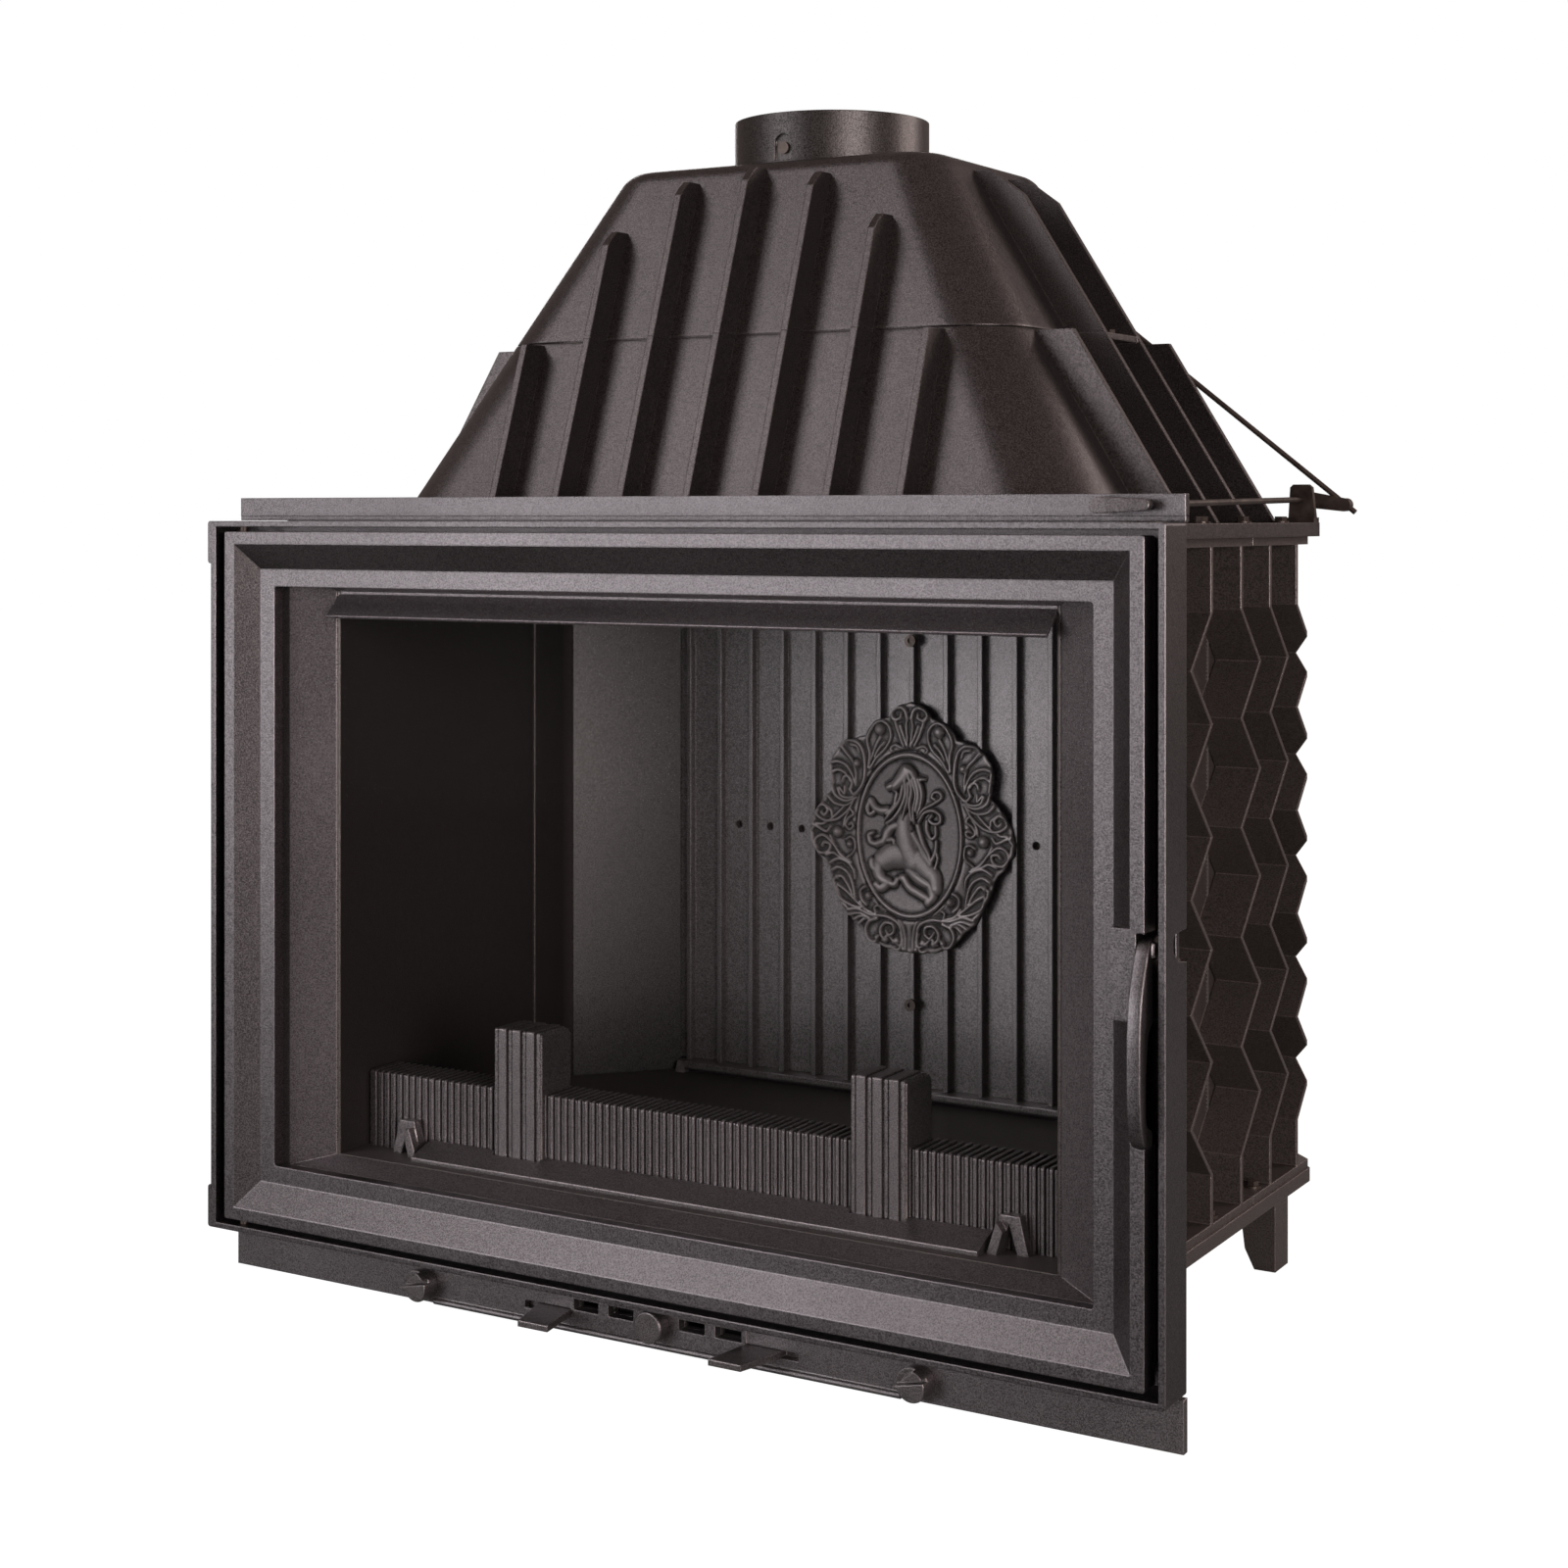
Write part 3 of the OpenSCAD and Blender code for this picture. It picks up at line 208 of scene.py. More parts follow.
def iron(name, dark, pale, metal=0.85, rough=0.37, grain=760.0, relief=0.5, edge=0.5,
         relief_shading=None, shaded_firebox=None):
    """Stove-painted cast iron: a fine sand grain, broad clouding, and painted highlights on rounded
    edges.

    The shade is 0.5 + the sum of contrast * (noise - 0.5) over sand, pits and clouds, between the
    colours dark and pale. edge sets how strongly rounded edges take a paler colour, a painted
    highlight. A named mesh attribute from 0 to 1 makes the paint paler on the ridges of carving and
    darker in its hollows: a painted highlight and painted shade. A firebox, given by its half width
    and rear end in metres, has its walls inside that space painted near black: painted shade."""
    material, wire, shader = new_material(name)
    place = wire.make("ShaderNodeTexCoord", out="Object")
    sand = wire.make("ShaderNodeTexNoise", None,
                     {"Vector": place, "Scale": grain, "Detail": 3.0, "Roughness": 0.6})
    pits = wire.make("ShaderNodeTexNoise", None,
                     {"Vector": place, "Scale": grain / PITS_COARSER, "Detail": 2.0})
    cloud = wire.make("ShaderNodeTexNoise", None,
                      {"Vector": place, "Scale": CLOUDS_PER_METRE, "Detail": 4.0})
    rounded = wire.make("ShaderNodeBevel", {"samples": 4}, {"Radius": EDGE_RADIUS})
    flat = wire.make("ShaderNodeNewGeometry", out="True Normal")
    facing = wire.make("ShaderNodeVectorMath", {"operation": "DOT_PRODUCT"}, {0: rounded, 1: flat},
                       out="Value")
    # Rounded edges, where the bevel normal leaves the true normal, are painted towards a paler
    # colour: a painted highlight.
    edge_highlight = ((1.0 - facing) * EDGE_HIGHLIGHT_GAIN).clamped()
    shade = ((sand - 0.5) * SAND_CONTRAST + (pits - 0.5) * PIT_CONTRAST
             + (cloud - 0.5) * CLOUD_CONTRAST + 0.5)
    # A carving attribute makes the paint paler on ridges and darker in hollows: a painted highlight
    # and painted shade.
    if relief_shading:
        ridges = wire.make("ShaderNodeAttribute", {"attribute_name": relief_shading}, out="Fac")
        shade = shade * CARVED_SHARE + ridges - CARVED_LOSS
    paint = shade.clamped().between((*dark, 1), (*pale, 1))
    # Inside the firebox the walls are mixed towards near black: painted shade for the dim firebox.
    if shaded_firebox:
        half_width, rear = shaded_firebox
        across = wire.make("ShaderNodeSeparateXYZ", None, {0: place}, out="X")
        deep = wire.make("ShaderNodeSeparateXYZ", None, {0: place}, out="Y")
        inside = ((half_width - wire.maths("ABSOLUTE", across)) * SIDE_FADE_PER_METRE).clamped()
        before = ((rear - deep) * REAR_FADE_PER_METRE).clamped()
        paint = (inside * before * FIREBOX_SHADE_COVER).between(paint, FIREBOX_SHADE)
    glint = (*(min(GLINT * value, 1.0) for value in pale), 1)
    (edge_highlight * edge).clamped().between(paint, glint).into(shader.inputs["Base Color"])
    ((sand - 0.5) * SAND_ROUGH + (cloud - 0.5) * CLOUD_ROUGH + rough - edge_highlight * EDGE_SMOOTH).into(
        shader.inputs["Roughness"])
    height = sand * SAND_HEIGHT + pits * PIT_HEIGHT
    bump = {"Strength": relief, "Distance": GRAIN_DEPTH, "Height": height, "Normal": rounded}
    wire.make("ShaderNodeBump", None, bump).into(shader.inputs["Normal"])
    shader.inputs["Metallic"].default_value = metal
    return material


def dress(material, *nodes):
    """Gives CAD nodes their finish."""
    for name in nodes:
        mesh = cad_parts[name].data
        mesh.materials.clear()
        mesh.materials.append(material)


FIRE_HALF_WIDTH, FIRE_REAR = 0.3885, 0.168
body_iron = iron("body_iron", (0.062, 0.049, 0.045), (0.150, 0.122, 0.114), metal=0.55, edge=1.0,
                 shaded_firebox=(FIRE_HALF_WIDTH, FIRE_REAR))
dress(body_iron, "base_plate", "front_feet", "rear_feet")

# Side castings and rear wall: thin cast panels whose folded fins shed heat to the air.
# The castings meet on a sealing rope and are bolted to the base and top plates.
dress(body_iron, "side_front_right", "side_front_left", "side_rear_right", "side_rear_left",
      "rear_wall")

ROPE_DARK = (0.035, 0.028, 0.026, 1)
ROPE_PALE = (0.17, 0.145, 0.135, 1)
STRANDS_PER_METRE, FUZZ_PER_METRE = 170.0, 420.0
STRAND_SHARE, FUZZ_SHARE = 0.7, 0.4
FUZZ_ROUGH, ROPE_ROUGH = 0.2, 0.75
rope, wire, shader = new_material("rope")
place = wire.make("ShaderNodeTexCoord", out="Object")
strands = wire.make("ShaderNodeTexWave", {"bands_direction": "DIAGONAL"},
                    {"Vector": place, "Scale": STRANDS_PER_METRE, "Distortion": 1.5, "Detail": 2.0})
fuzz = wire.make("ShaderNodeTexNoise", None,
                 {"Vector": place, "Scale": FUZZ_PER_METRE, "Detail": 3.0})
(strands * STRAND_SHARE + fuzz * FUZZ_SHARE).between(ROPE_DARK, ROPE_PALE).into(
    shader.inputs["Base Color"])
(fuzz * FUZZ_ROUGH + ROPE_ROUGH).into(shader.inputs["Roughness"])
bump = {"Strength": 0.6, "Distance": 0.001, "Height": strands}
wire.make("ShaderNodeBump", None, bump).into(shader.inputs["Normal"])
dress(rope, "joint_ropes")

STREAKS_PER_METRE, STAINS_PER_METRE = 90.0, 24.0
OXIDE_CONTRAST, OXIDE_ROUGH, OXIDE_DEPTH = 1.2, 0.3, 0.0004


def steel(name, dark, pale, rough):
    """Mild steel with a thin uneven oxide: fine streaks and small stains.

    The shade is 0.5 + contrast * (noise - 0.5) over both, between the colours dark and pale."""
    material, wire, shader = new_material(name)
    place = wire.make("ShaderNodeTexCoord", out="Object")
    streaks = wire.make("ShaderNodeTexNoise", None,
                        {"Vector": place, "Scale": STREAKS_PER_METRE, "Detail": 4.0})
    stains = wire.make("ShaderNodeTexNoise", None,
                       {"Vector": place, "Scale": STAINS_PER_METRE, "Detail": 3.0})
    shade = ((streaks - 0.5) * OXIDE_CONTRAST + (stains - 0.5) * OXIDE_CONTRAST + 0.5).clamped()
    shade.between((*dark, 1), (*pale, 1)).into(shader.inputs["Base Color"])
    ((streaks - 0.5) * OXIDE_ROUGH + rough).into(shader.inputs["Roughness"])
    bump = {"Strength": 0.15, "Distance": OXIDE_DEPTH, "Height": streaks}
    wire.make("ShaderNodeBump", None, bump).into(shader.inputs["Normal"])
    shader.inputs["Metallic"].default_value = 0.8
    return material


rod_steel = steel("rod_steel", (0.045, 0.033, 0.029), (0.15, 0.115, 0.10), 0.42)
dress(rod_steel, "casting_bolts", "screws")

# Top plate and its bar: the flat casting that closes the body, with the lintel over the door.
# The bar is cast in one run across the front; a thin lip closes its joint with the surround.
front_iron = iron("front_iron", (0.073, 0.0645, 0.066), (0.190, 0.169, 0.173), metal=1.0, edge=0.9)
dress(front_iron, "top_bar")
bar_low, bar_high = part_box("top_bar")
LIP_DEPTHS, LIP_HEIGHTS = (0.0003, 0.0076), (0.0020, 0.0070)
lip_mesh = bpy.data.meshes.new("bar_lip")
corners = [(x, bar_low.y + y, bar_low.z + z)
           for x in (bar_low.x, bar_high.x) for y in LIP_DEPTHS for z in LIP_HEIGHTS]
lip_mesh.from_pydata(corners, [], [(0, 1, 3, 2), (4, 6, 7, 5), (0, 4, 5, 1),
                                   (2, 3, 7, 6), (0, 2, 6, 4), (1, 5, 7, 3)])
bar_lip = stand("bar_lip", lip_mesh)
lip_mesh.materials.append(front_iron)
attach(bar_lip, "root")
hood_iron = iron("hood_iron", (0.050, 0.041, 0.041), (0.145, 0.124, 0.123))
dress(hood_iron, "top_plate")

# Hood, throat plate and flue collar: two ribbed castings, the upper one set in the lower's rim.
# The collar is an iron ring that takes the flue pipe, held by three screws.
dress(hood_iron, "hood_lower", "hood_upper", "throat_plate")
collar_iron = iron("collar_iron", (0.040, 0.035, 0.034), (0.120, 0.106, 0.103), metal=0.9,
                   rough=0.34)
dress(collar_iron, "flue_collar")
MIDDLE_Y = 240.5
HOOD_HALF, HOOD_FRONT, HOOD_REAR, HOOD_LEVEL = 393.8, 64.7, 530.0, 749.5
LEAN_SIDE, LEAN_FRONT, LEAN_REAR = 0.616, 0.346, 0.225
CORNER_FOOT, CORNER_FALL = 80.0, 0.1
CORNER_STEPS = 17
SIDE_STEPS = (0.02, 0.25, 0.5, 0.75, 0.98)
FLUE_MIDDLE, FLUE_EDGE = 318.6, 96.0


def surface(name, places, quads, triangles=()):
    """A smooth shaded object from arrays of points, four-sided faces and triangles."""
    mesh = bpy.data.meshes.new(name)
    corners = np.concatenate([np.ravel(quads), np.ravel(triangles)]).astype(np.int32)
    sizes = np.concatenate([np.full(len(quads), 4), np.full(len(triangles), 3)])
    mesh.vertices.add(len(places))
    mesh.vertices.foreach_set("co", np.ravel(places).astype(np.float32))
    mesh.loops.add(len(corners))
    mesh.loops.foreach_set("vertex_index", corners)
    mesh.polygons.add(len(sizes))
    mesh.polygons.foreach_set("loop_start", (np.cumsum(sizes) - sizes).astype(np.int32))
    mesh.update(calc_edges=True)
    mesh.validate()
    mesh.shade_smooth()
    return stand(name, mesh)


def ring_faces(rings, around, closed=False):
    """Four-sided faces from each ring of points to the next, and if closed on to the first."""
    here = np.arange(around)
    following = (here + 1) % around
    low = around * np.arange(rings if closed else rings - 1)[:, None]
    high = (low + around) % (rings * around)
    return np.stack([low + here, low + following, high + following, high + here], -1).reshape(-1, 4)


def in_frame(places):
    """The source's millimetres as metres of the frame, whose origin lies MIDDLE_Y further back."""
    return (places - [0, MIDDLE_Y, 0]) / 1000


def hood_skin(name, stations):
    """The smooth face of a hood casting: ring(k, a) is a rounded rectangle that shrinks as its rise
    k over the foot grows, corner(k) + (r(k) - inset) * (cos a, sin a), with r(k) the corner radius
    at the foot less fall * k.

    Each station gives k, inset and the share by which the ring has gone over to the flue's circle,
    and the last ring joins the first."""
    rise, inset, share = (column[:, None, None] for column in np.array(stations, float).T)
    turn = np.radians(np.linspace(0, 90, CORNER_STEPS) + np.array([[0], [90], [180], [270]]))
    radius = CORNER_FOOT - CORNER_FALL * rise
    right = np.array([[1], [-1], [-1], [1]])
    behind = np.array([[1], [1], [0], [0]])
    rear = HOOD_REAR - LEAN_REAR * rise - radius
    front = HOOD_FRONT + LEAN_FRONT * rise + radius
    x = right * (HOOD_HALF - LEAN_SIDE * rise - radius) + (radius - inset) * np.cos(turn)
    y = behind * rear + (1 - behind) * front + (radius - inset) * np.sin(turn)
    arcs = np.stack([x, y], -1)
    ends, starts = arcs[:, :, -1:], np.roll(arcs, -1, 1)[:, :, :1]
    sides = ends + (starts - ends) * np.array(SIDE_STEPS)[:, None]
    rings = np.concatenate([arcs, sides], 2).reshape(len(stations), -1, 2)
    middle = np.array([0, FLUE_MIDDLE])
    away = rings - middle
    circle = middle + FLUE_EDGE * away / np.linalg.norm(away, axis=2, keepdims=True)
    rings = rings + (circle - rings) * share
    steps, around = rings.shape[:2]
    level = np.broadcast_to(HOOD_LEVEL + rise, (steps, around, 1))
    places = in_frame(np.concatenate([rings, level], 2).reshape(-1, 3))
    return surface(name, places, ring_faces(steps, around, closed=True))


# Rises over the foot and insets from the casting's face, in mm.
PROUD, SUNK = -0.4, 2.5
NEAR_JOINT, AT_JOINT, JOINT_EASE = PROUD + 0.2, 0.6, 0.3
LOWER_FACE, LOWER_RIM = (0.1, 3, 60, 120, 174, 177), 177.9
UPPER_FOOT, UPPER_FACE = 178.6, (179.5, 182, 240, 300, 335)
CROWN_RISE, CROWN_ROUND, CROWN_STEPS = 350.9, 12.0, 10
CROWN_INSET, CROWN_SHARES = 12, (0.03, 0.3, 0.6, 0.97, 1)
UNDERSIDE, UNDER_SHARES, UNDER_FACE = 349, (1, 0.5), ((349, 23), (330, 7), (300, SUNK))
LOWER = [(LOWER_FACE[0], SUNK, 0), *((rise, PROUD, 0) for rise in LOWER_FACE),
         (LOWER_RIM - JOINT_EASE, NEAR_JOINT, 0), (LOWER_RIM, AT_JOINT, 0), (LOWER_RIM, SUNK, 0)]
crown = [(CROWN_RISE - CROWN_ROUND * (1 - math.sin(a)), PROUD + CROWN_ROUND * (1 - math.cos(a)), 0)
         for a in np.radians(np.linspace(0, 90, CROWN_STEPS))]
UPPER = [(UPPER_FOOT, SUNK, 0), (UPPER_FOOT, AT_JOINT, 0), (UPPER_FOOT + JOINT_EASE, NEAR_JOINT, 0),
         *((rise, PROUD, 0) for rise in UPPER_FACE), *crown,
         *((CROWN_RISE, CROWN_INSET, share) for share in CROWN_SHARES),
         *((UNDERSIDE, CROWN_INSET, share) for share in UNDER_SHARES),
         *((rise, inset, 0) for rise, inset in UNDER_FACE)]
for name, stations in (("hood_skin_lower", LOWER), ("hood_skin_upper", UPPER)):
    skin = hood_skin(name, stations)
    skin.data.materials.append(hood_iron)
    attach(skin, "root")

# Surround, funnel and deflector: the castings round the mouth of the firebox.
# The rim stands round the door; the splayed funnel behind it leads to the firebox walls.
dress(front_iron, "front_frame")
splay_iron = iron("splay_iron", (0.090, 0.075, 0.077), (0.230, 0.197, 0.202), metal=0.7)
dress(splay_iron, "fire_surround", "deflector")

# Firebox floor and linings: plain iron plates laid in loose, so that they can be changed.
# The back lining is ribbed and rests on a ledge; the smoke baffle lies on lugs under the hood.
lining_iron = iron("lining_iron", (0.125, 0.110, 0.110), (0.320, 0.288, 0.290), metal=0.6, edge=0.3)
dress(lining_iron, "back_lining", "back_lip")
corner_iron = iron("corner_iron", (0.036, 0.032, 0.031), (0.095, 0.086, 0.085), metal=0.6, edge=0.3)
dress(corner_iron, "corner_lining_right", "corner_lining_left")
# Hearth, grate, baffle and flap take a rougher iron, painted darker: painted shade for the deep
# firebox.
shaded_firebox_iron = iron("shaded_firebox_iron", (0.045, 0.035, 0.033), (0.125, 0.105, 0.100), metal=0.4, rough=0.6)
dress(shaded_firebox_iron, "hearth_plate", "grate", "grate_rest", "smoke_baffle")
sheet_steel = steel("sheet_steel", (0.07, 0.062, 0.06), (0.17, 0.155, 0.15), 0.5)
dress(sheet_steel, "ash_box", "ash_pan", "back_strip")

# Crest: a cast iron cartouche with leaf scrolls round a sunk oval, in which a beast rears up.
# It is screwed flat on the ribs of the back lining.
SCROLLS = [
    (2.4, 1.6, 3.2, 11, 110.5, 7, 100, 2, 88.5),
    (2.6, 1.6, 3, 18, 118.5, 15.5, 109.5, 11, 98, 6.5, 89),
    (2.8, 1.8, 3.6, 2.5, 118.5, 5, 127, 11, 130.5, 19, 128, 21.5, 122, 18, 117, 11, 119,
     10.5, 124),
    (1.5, 1.2, 3.2, 2.5, 118.5, 4, 110, 2.5, 98.5, 1.5, 89),
    (2, 1.5, 3.4, 49.5, 64, 48.5, 79.5, 51.5, 94.5, 44.5, 109, 35, 115, 25.5, 110, 22.5, 98.5,
     28.5, 85.5, 40, 74.5, 47.5, 62.5),
    (2, 1, 2.8, 30.5, 91.5, 37, 85, 42.5, 75.5), (2.4, 1, 2.2, 36, 97, 42, 86.5, 46.5, 72.5),
    (1.8, 1.2, 2.6, 9.5, 87, 17, 89.5, 22.5, 85.5, 19, 81.5),
    (2, 2.4, 3.4, 73.5, 39, 68, 34, 59, 41.5, 54.5, 53.5, 55, 72, 59, 85.5, 68, 92, 80.5, 91.5,
     85.5, 84.5),
    (2.2, 1.2, 3, 84.5, 86, 77.5, 78, 70, 70, 66, 56.5, 66, 43),
    (2, 1.2, 2.6, 72.5, 87.5, 65, 86, 62, 78.5),
    (2.4, 1.2, 3.2, 98, 66.5, 88.5, 68.5, 77.5, 64.5, 70, 54.5, 67, 46),
    (2.4, 1.2, 3, 97, 55, 88.5, 59.5, 78.5, 55.5, 72.5, 47.5),
    (2.2, 2, 2.6, 95, 44.5, 96, 53, 98, 65),
    (2.2, 1.6, 3, 82.5, 47, 80.5, 52, 74.5, 52.5, 70.5, 47, 72.5, 40),
    (2.4, 1.4, 3, 96, 40.5, 91, 31, 78.5, 26, 65, 30),
    (2.2, 1.2, 2.8, 88.5, 39, 84.5, 31.5, 74.5, 29.5, 63, 34.5),
    (2.2, 1.2, 2.8, 101, 30.5, 92, 22.5, 78.5, 21, 69, 26.5),
    (1.6, 1, 2.4, 86.5, 40, 80.5, 33.5, 80.5, 42),
    (1.6, 2.2, 3.4, 67, 29, 74.5, 17, 88.5, 5.5, 104, 3, 115, 9, 114, 17, 106, 20, 101, 14.5,
     105, 9, 109, 11.5),
    (2.2, 1.4, 2.6, 109, 22.5, 98, 15.5, 96, 8.5),
    (1.4, 1.8, 2.4, 80.5, 20, 92, 9, 106, -0.5, 116, -1),
    (1.6, 1.8, 3, 72.5, 18, 68.5, 12, 75.5, 6.5, 78.5, -0.5, 73.5, -5, 68.5, -1.5, 70.5, 2.5,
     74, 0.5),
    (1.2, 1.6, 2.4, 72.5, 17, 79.5, 6.5, 81.5, -2.5),
    (2.2, 1.4, 2.6, 122, -1.5, 113, -5, 103, -9, 98, -3.5),
    (2, 1.6, 2.8, 123.5, -10, 119, -4.5, 121.5, 2),
    (1.6, 2.2, 3.4, 74.5, -38.5, 84.5, -33.5, 94, -22, 106, -13.5, 116, -17.5, 117, -27, 109, -33,
     100, -30, 98, -23, 105, -21, 108, -24.5),
    (1.4, 1.2, 2.6, 98, -13.5, 89.5, -27, 77.5, -37),
    (2.2, 2, 2.8, 121.5, -12.5, 119.5, -23.5, 112, -34.5),
    (1.4, 1.4, 2.8, 78.5, -16.5, 72.5, -13, 67, -16, 66, -25, 70.5, -31.5, 76.5, -35.5),
    (2.4, 1.2, 3, 103, -34.5, 94, -32, 84.5, -36.5, 71.5, -41),
    (2.4, 1.2, 3.2, 98, -43, 88.5, -38, 76.5, -41, 68.5, -49, 67, -59),
    (2.4, 1.2, 3.2, 96, -51, 86.5, -47, 75.5, -53, 70, -64.5, 67, -79.5),
    (2.2, 1.2, 2.8, 94, -60.5, 84.5, -56.5, 76.5, -65, 70, -76.5),
    (3, 1.6, 3.4, 91, -69.5, 86.5, -79.5, 72.5, -87, 59, -89),
    (2.4, 1.2, 2.8, 88.5, -66, 78.5, -72, 67, -81.5, 57, -89),
    (2, 2.2, 2.6, 94, -61, 92.5, -69.5, 88.5, -81.5, 76.5, -90.5),
    (1.8, 2.6, 3.6, 52.5, -85.5, 59, -79, 59.5, -70.5, 51.5, -65.5, 42.5, -69.5, 40, -79, 32, -87,
     19, -91, 9.5, -100.5, 5, -115, 4.5, -130),
    (2.6, 1.8, 3.2, 76.5, -92.5, 63, -91, 47.5, -96, 28.5, -96, 15, -101, 9.5, -112, 8, -130.5),
    (1.6, 1.2, 2.6, 41, -93.5, 42.5, -88, 37, -85.5, 28.5, -90),
    (1.8, 1.2, 2.6, 61, -82.5, 53.5, -90.5, 42, -94.5),
    (2.2, 1.2, 2.6, 75.5, -98, 61, -95.5, 47.5, -100),
    (2.2, 1.2, 2.6, 70, -103.5, 59, -98.5, 46.5, -101),
    (2.2, 1.2, 2.4, 64, -108.5, 55.5, -101.5, 43.5, -101.5),
    (2.4, 2, 3.4, 40, -99.5, 49.5, -103.5, 53.5, -112.5, 49.5, -122.5, 42, -125, 38, -118),
    (2.4, 1.8, 3.6, 28.5, -122, 34, -117.5, 35, -109.5, 28.5, -103, 20, -104.5, 19, -112,
     24.5, -116, 28.5, -112),
    (2.2, 1.4, 2.8, 33, -122.5, 26.5, -117, 19, -123, 11, -127.5),
    (2, 1.6, 3, 11, -112.5, 9.5, -120.5, 13, -131, 20.5, -130),
    (2, 1.6, 2.8, 20.5, -124, 16, -119.5, 13, -122.5),
]
PEARLS = [
    (6.4, 6, 36, 105.5), (4.6, 5, 64.5, 67.5), (6.2, 6, 88.5, -8.5), (3.8, 4.4, 73.5, -21),
    (4.6, 5, 49.5, -75.5), (3.4, 3.6, 89.5, -58), (3.4, 4.2, 40, -120), (4, 4.4, 29.5, -121.5),
    (2.2, 3, 72.5, 40), (2.8, 3.6, 15.5, -122.5),
]
BEAST = [
    (11, 7, 6.5, -3, 59.5, -9.5, 52.5, -17, 45.5), (6, 5, 5.5, -17, 47, -24.5, 43.5),
    (4, 3, 4.6, -19, 42, -14.5, 37), (6, 5, 6, -4, 64, 3.5, 60, 9.5, 47, 11, 33.5, 7.5, 20),
    (4, 3, 6.6, -1, 59.5, 3.5, 43, 1, 26.5, 3.5, 9.5),
    (4.5, 2.5, 6.4, -5, 54.5, -4, 37.5, -9.5, 22.5, -19, 10, -27, 4.5),
    (4, 2, 5.6, -7.5, 46, -11.5, 30.5, -21, 18, -28.5, 9.5),
    (3.5, 2.2, 6.8, 4.5, 53.5, 8.5, 37, 5.5, 21.5, 6.5, 6.5),
    (4, 2, 5.2, 11, 53.5, 15.5, 39, 13.5, 25.5, 9.5, 15),
    (3.5, 2, 7, 0, 49.5, -1, 33, -5, 19, -7.5, 10.5), (2.6, 1.6, 4.6, 14, 54, 19.5, 54),
    (4, 2.5, 4.6, -15.5, 35.5, -19, 23.5, -28.5, 14.5),
    (12, 15, 5.6, -7.5, 10.5, -7.5, -4.5, -4, -21, 3.5, -35.5),
    (8, 5, 4.6, -11.5, 2, -19, 1.5, -27, -5.5, -31.5, -14.5, -40, -18.5),
    (4.5, 3, 4.4, -40, -18.5, -47, -17, -49, -9.5, -45, -7),
    (4, 3, 4, -27, -14, -20, -13, -19, -17),
    (6, 5, 4.2, -27, 18, -34.5, 17.5, -42, 20.5, -47, 27.5),
    (4, 3, 3.8, -47, 27.5, -51, 20, -48, 13, -40, 19),
    (17, 13, 4.6, -9.5, -28, -23, -31, -32.5, -36.5),
    (10, 6, 4, -34.5, -35, -38, -47, -34.5, -55.5, -27, -59.5),
    (5, 4, 3.6, -46, -37.5, -45, -44, -40, -46.5),
    (7, 5, 3.8, -27, -59.5, -34.5, -65.5, -40, -62.5),
    (5, 4, 3.6, -27, -59, -19, -61, -15.5, -55.5),
    (15, 9, 5.2, 7.5, -33.5, 18.5, -43, 28, -50.5, 31, -62),
    (6, 6, 4.4, -7.5, -53.5, 0, -63, 11, -68.5, 24.5, -74.5),
    (8, 6, 4.6, 26, -61, 28, -70.5, 22.5, -77), (5, 5, 4.2, -9.5, -53.5, -4, -58),
    (8, 6, 4.4, 0, -44.5, 11, -53.5, 24.5, -59.5), (5, 5, 3.8, 3.5, -5.5, 17, -26.5, 24.5, -36),
    (4, 2.5, 3.8, 9.5, 3.5, 15, -13, 22.5, -26, 26, -32.5, 31, -22, 32, -12),
    (2.4, 2.2, 4.2, 8.5, 11.5, 17, 22, 28, 28, 38.5, 35, 36.5, 41, 30, 40.5, 27, 35.5, 31, 33),
    (2.6, 2.4, 4.2, 11, 8.5, 18, 18, 28, 21, 36.5, 16.5, 36.5, 9, 29, 7, 23.5, 11, 27, 15.5),
    (3.4, 2.2, 3.6, 20.5, 9, 20.5, -1, 26, -9, 31, -5.5, 31, 4.5),
    (2.6, 2, 3.4, 31, -22, 33.5, -30, 30, -42),
]
OUTLINE = [
    (0, 136), (12, 133), (22, 127), (26, 119), (36, 117), (47, 112), (56, 98), (66, 95), (80, 92),
    (87, 86), (95, 76), (99, 66), (98, 45), (96, 38), (105, 29), (111, 22), (118, 12), (122, 2),
    (124.5, -10), (124, -19), (118, -28), (111, -39), (104, -44), (99, -54), (97, -63), (91, -74),
    (85, -86), (78, -98), (67, -106), (58, -116), (50, -125), (39, -128), (31, -131), (20, -133),
    (0, -134),
]
SAMPLES = 14
STROKE_POWER = 0.7
OVAL_HALF_WIDTH, OVAL_HALF_HEIGHT, OVAL_MIDDLE = 62.2, 86.6, -7.2
FIELD_LEVEL, FIELD_DISH, FIELD_END = 1.6, 3.0, 1.04
BEAD_HEIGHT, BEAD_HALF, BEAST_END = 2.4, 0.030, 0.97
BORDER_LEVEL, COLLAR_LEVEL, COLLAR_SWELL = 2.4, 3.2, 1.6
COLLAR_AT, COLLAR_WIDTH, STEP_AT, STEP_WIDTH = 1.09, 0.16, 1.05, 0.02
STEM_HEIGHT, STEM_TOP = 2.2, -92
STEM_LEVELS, STEM_HALVES = [-134, -110, -96], [4.5, 4.5, 12]


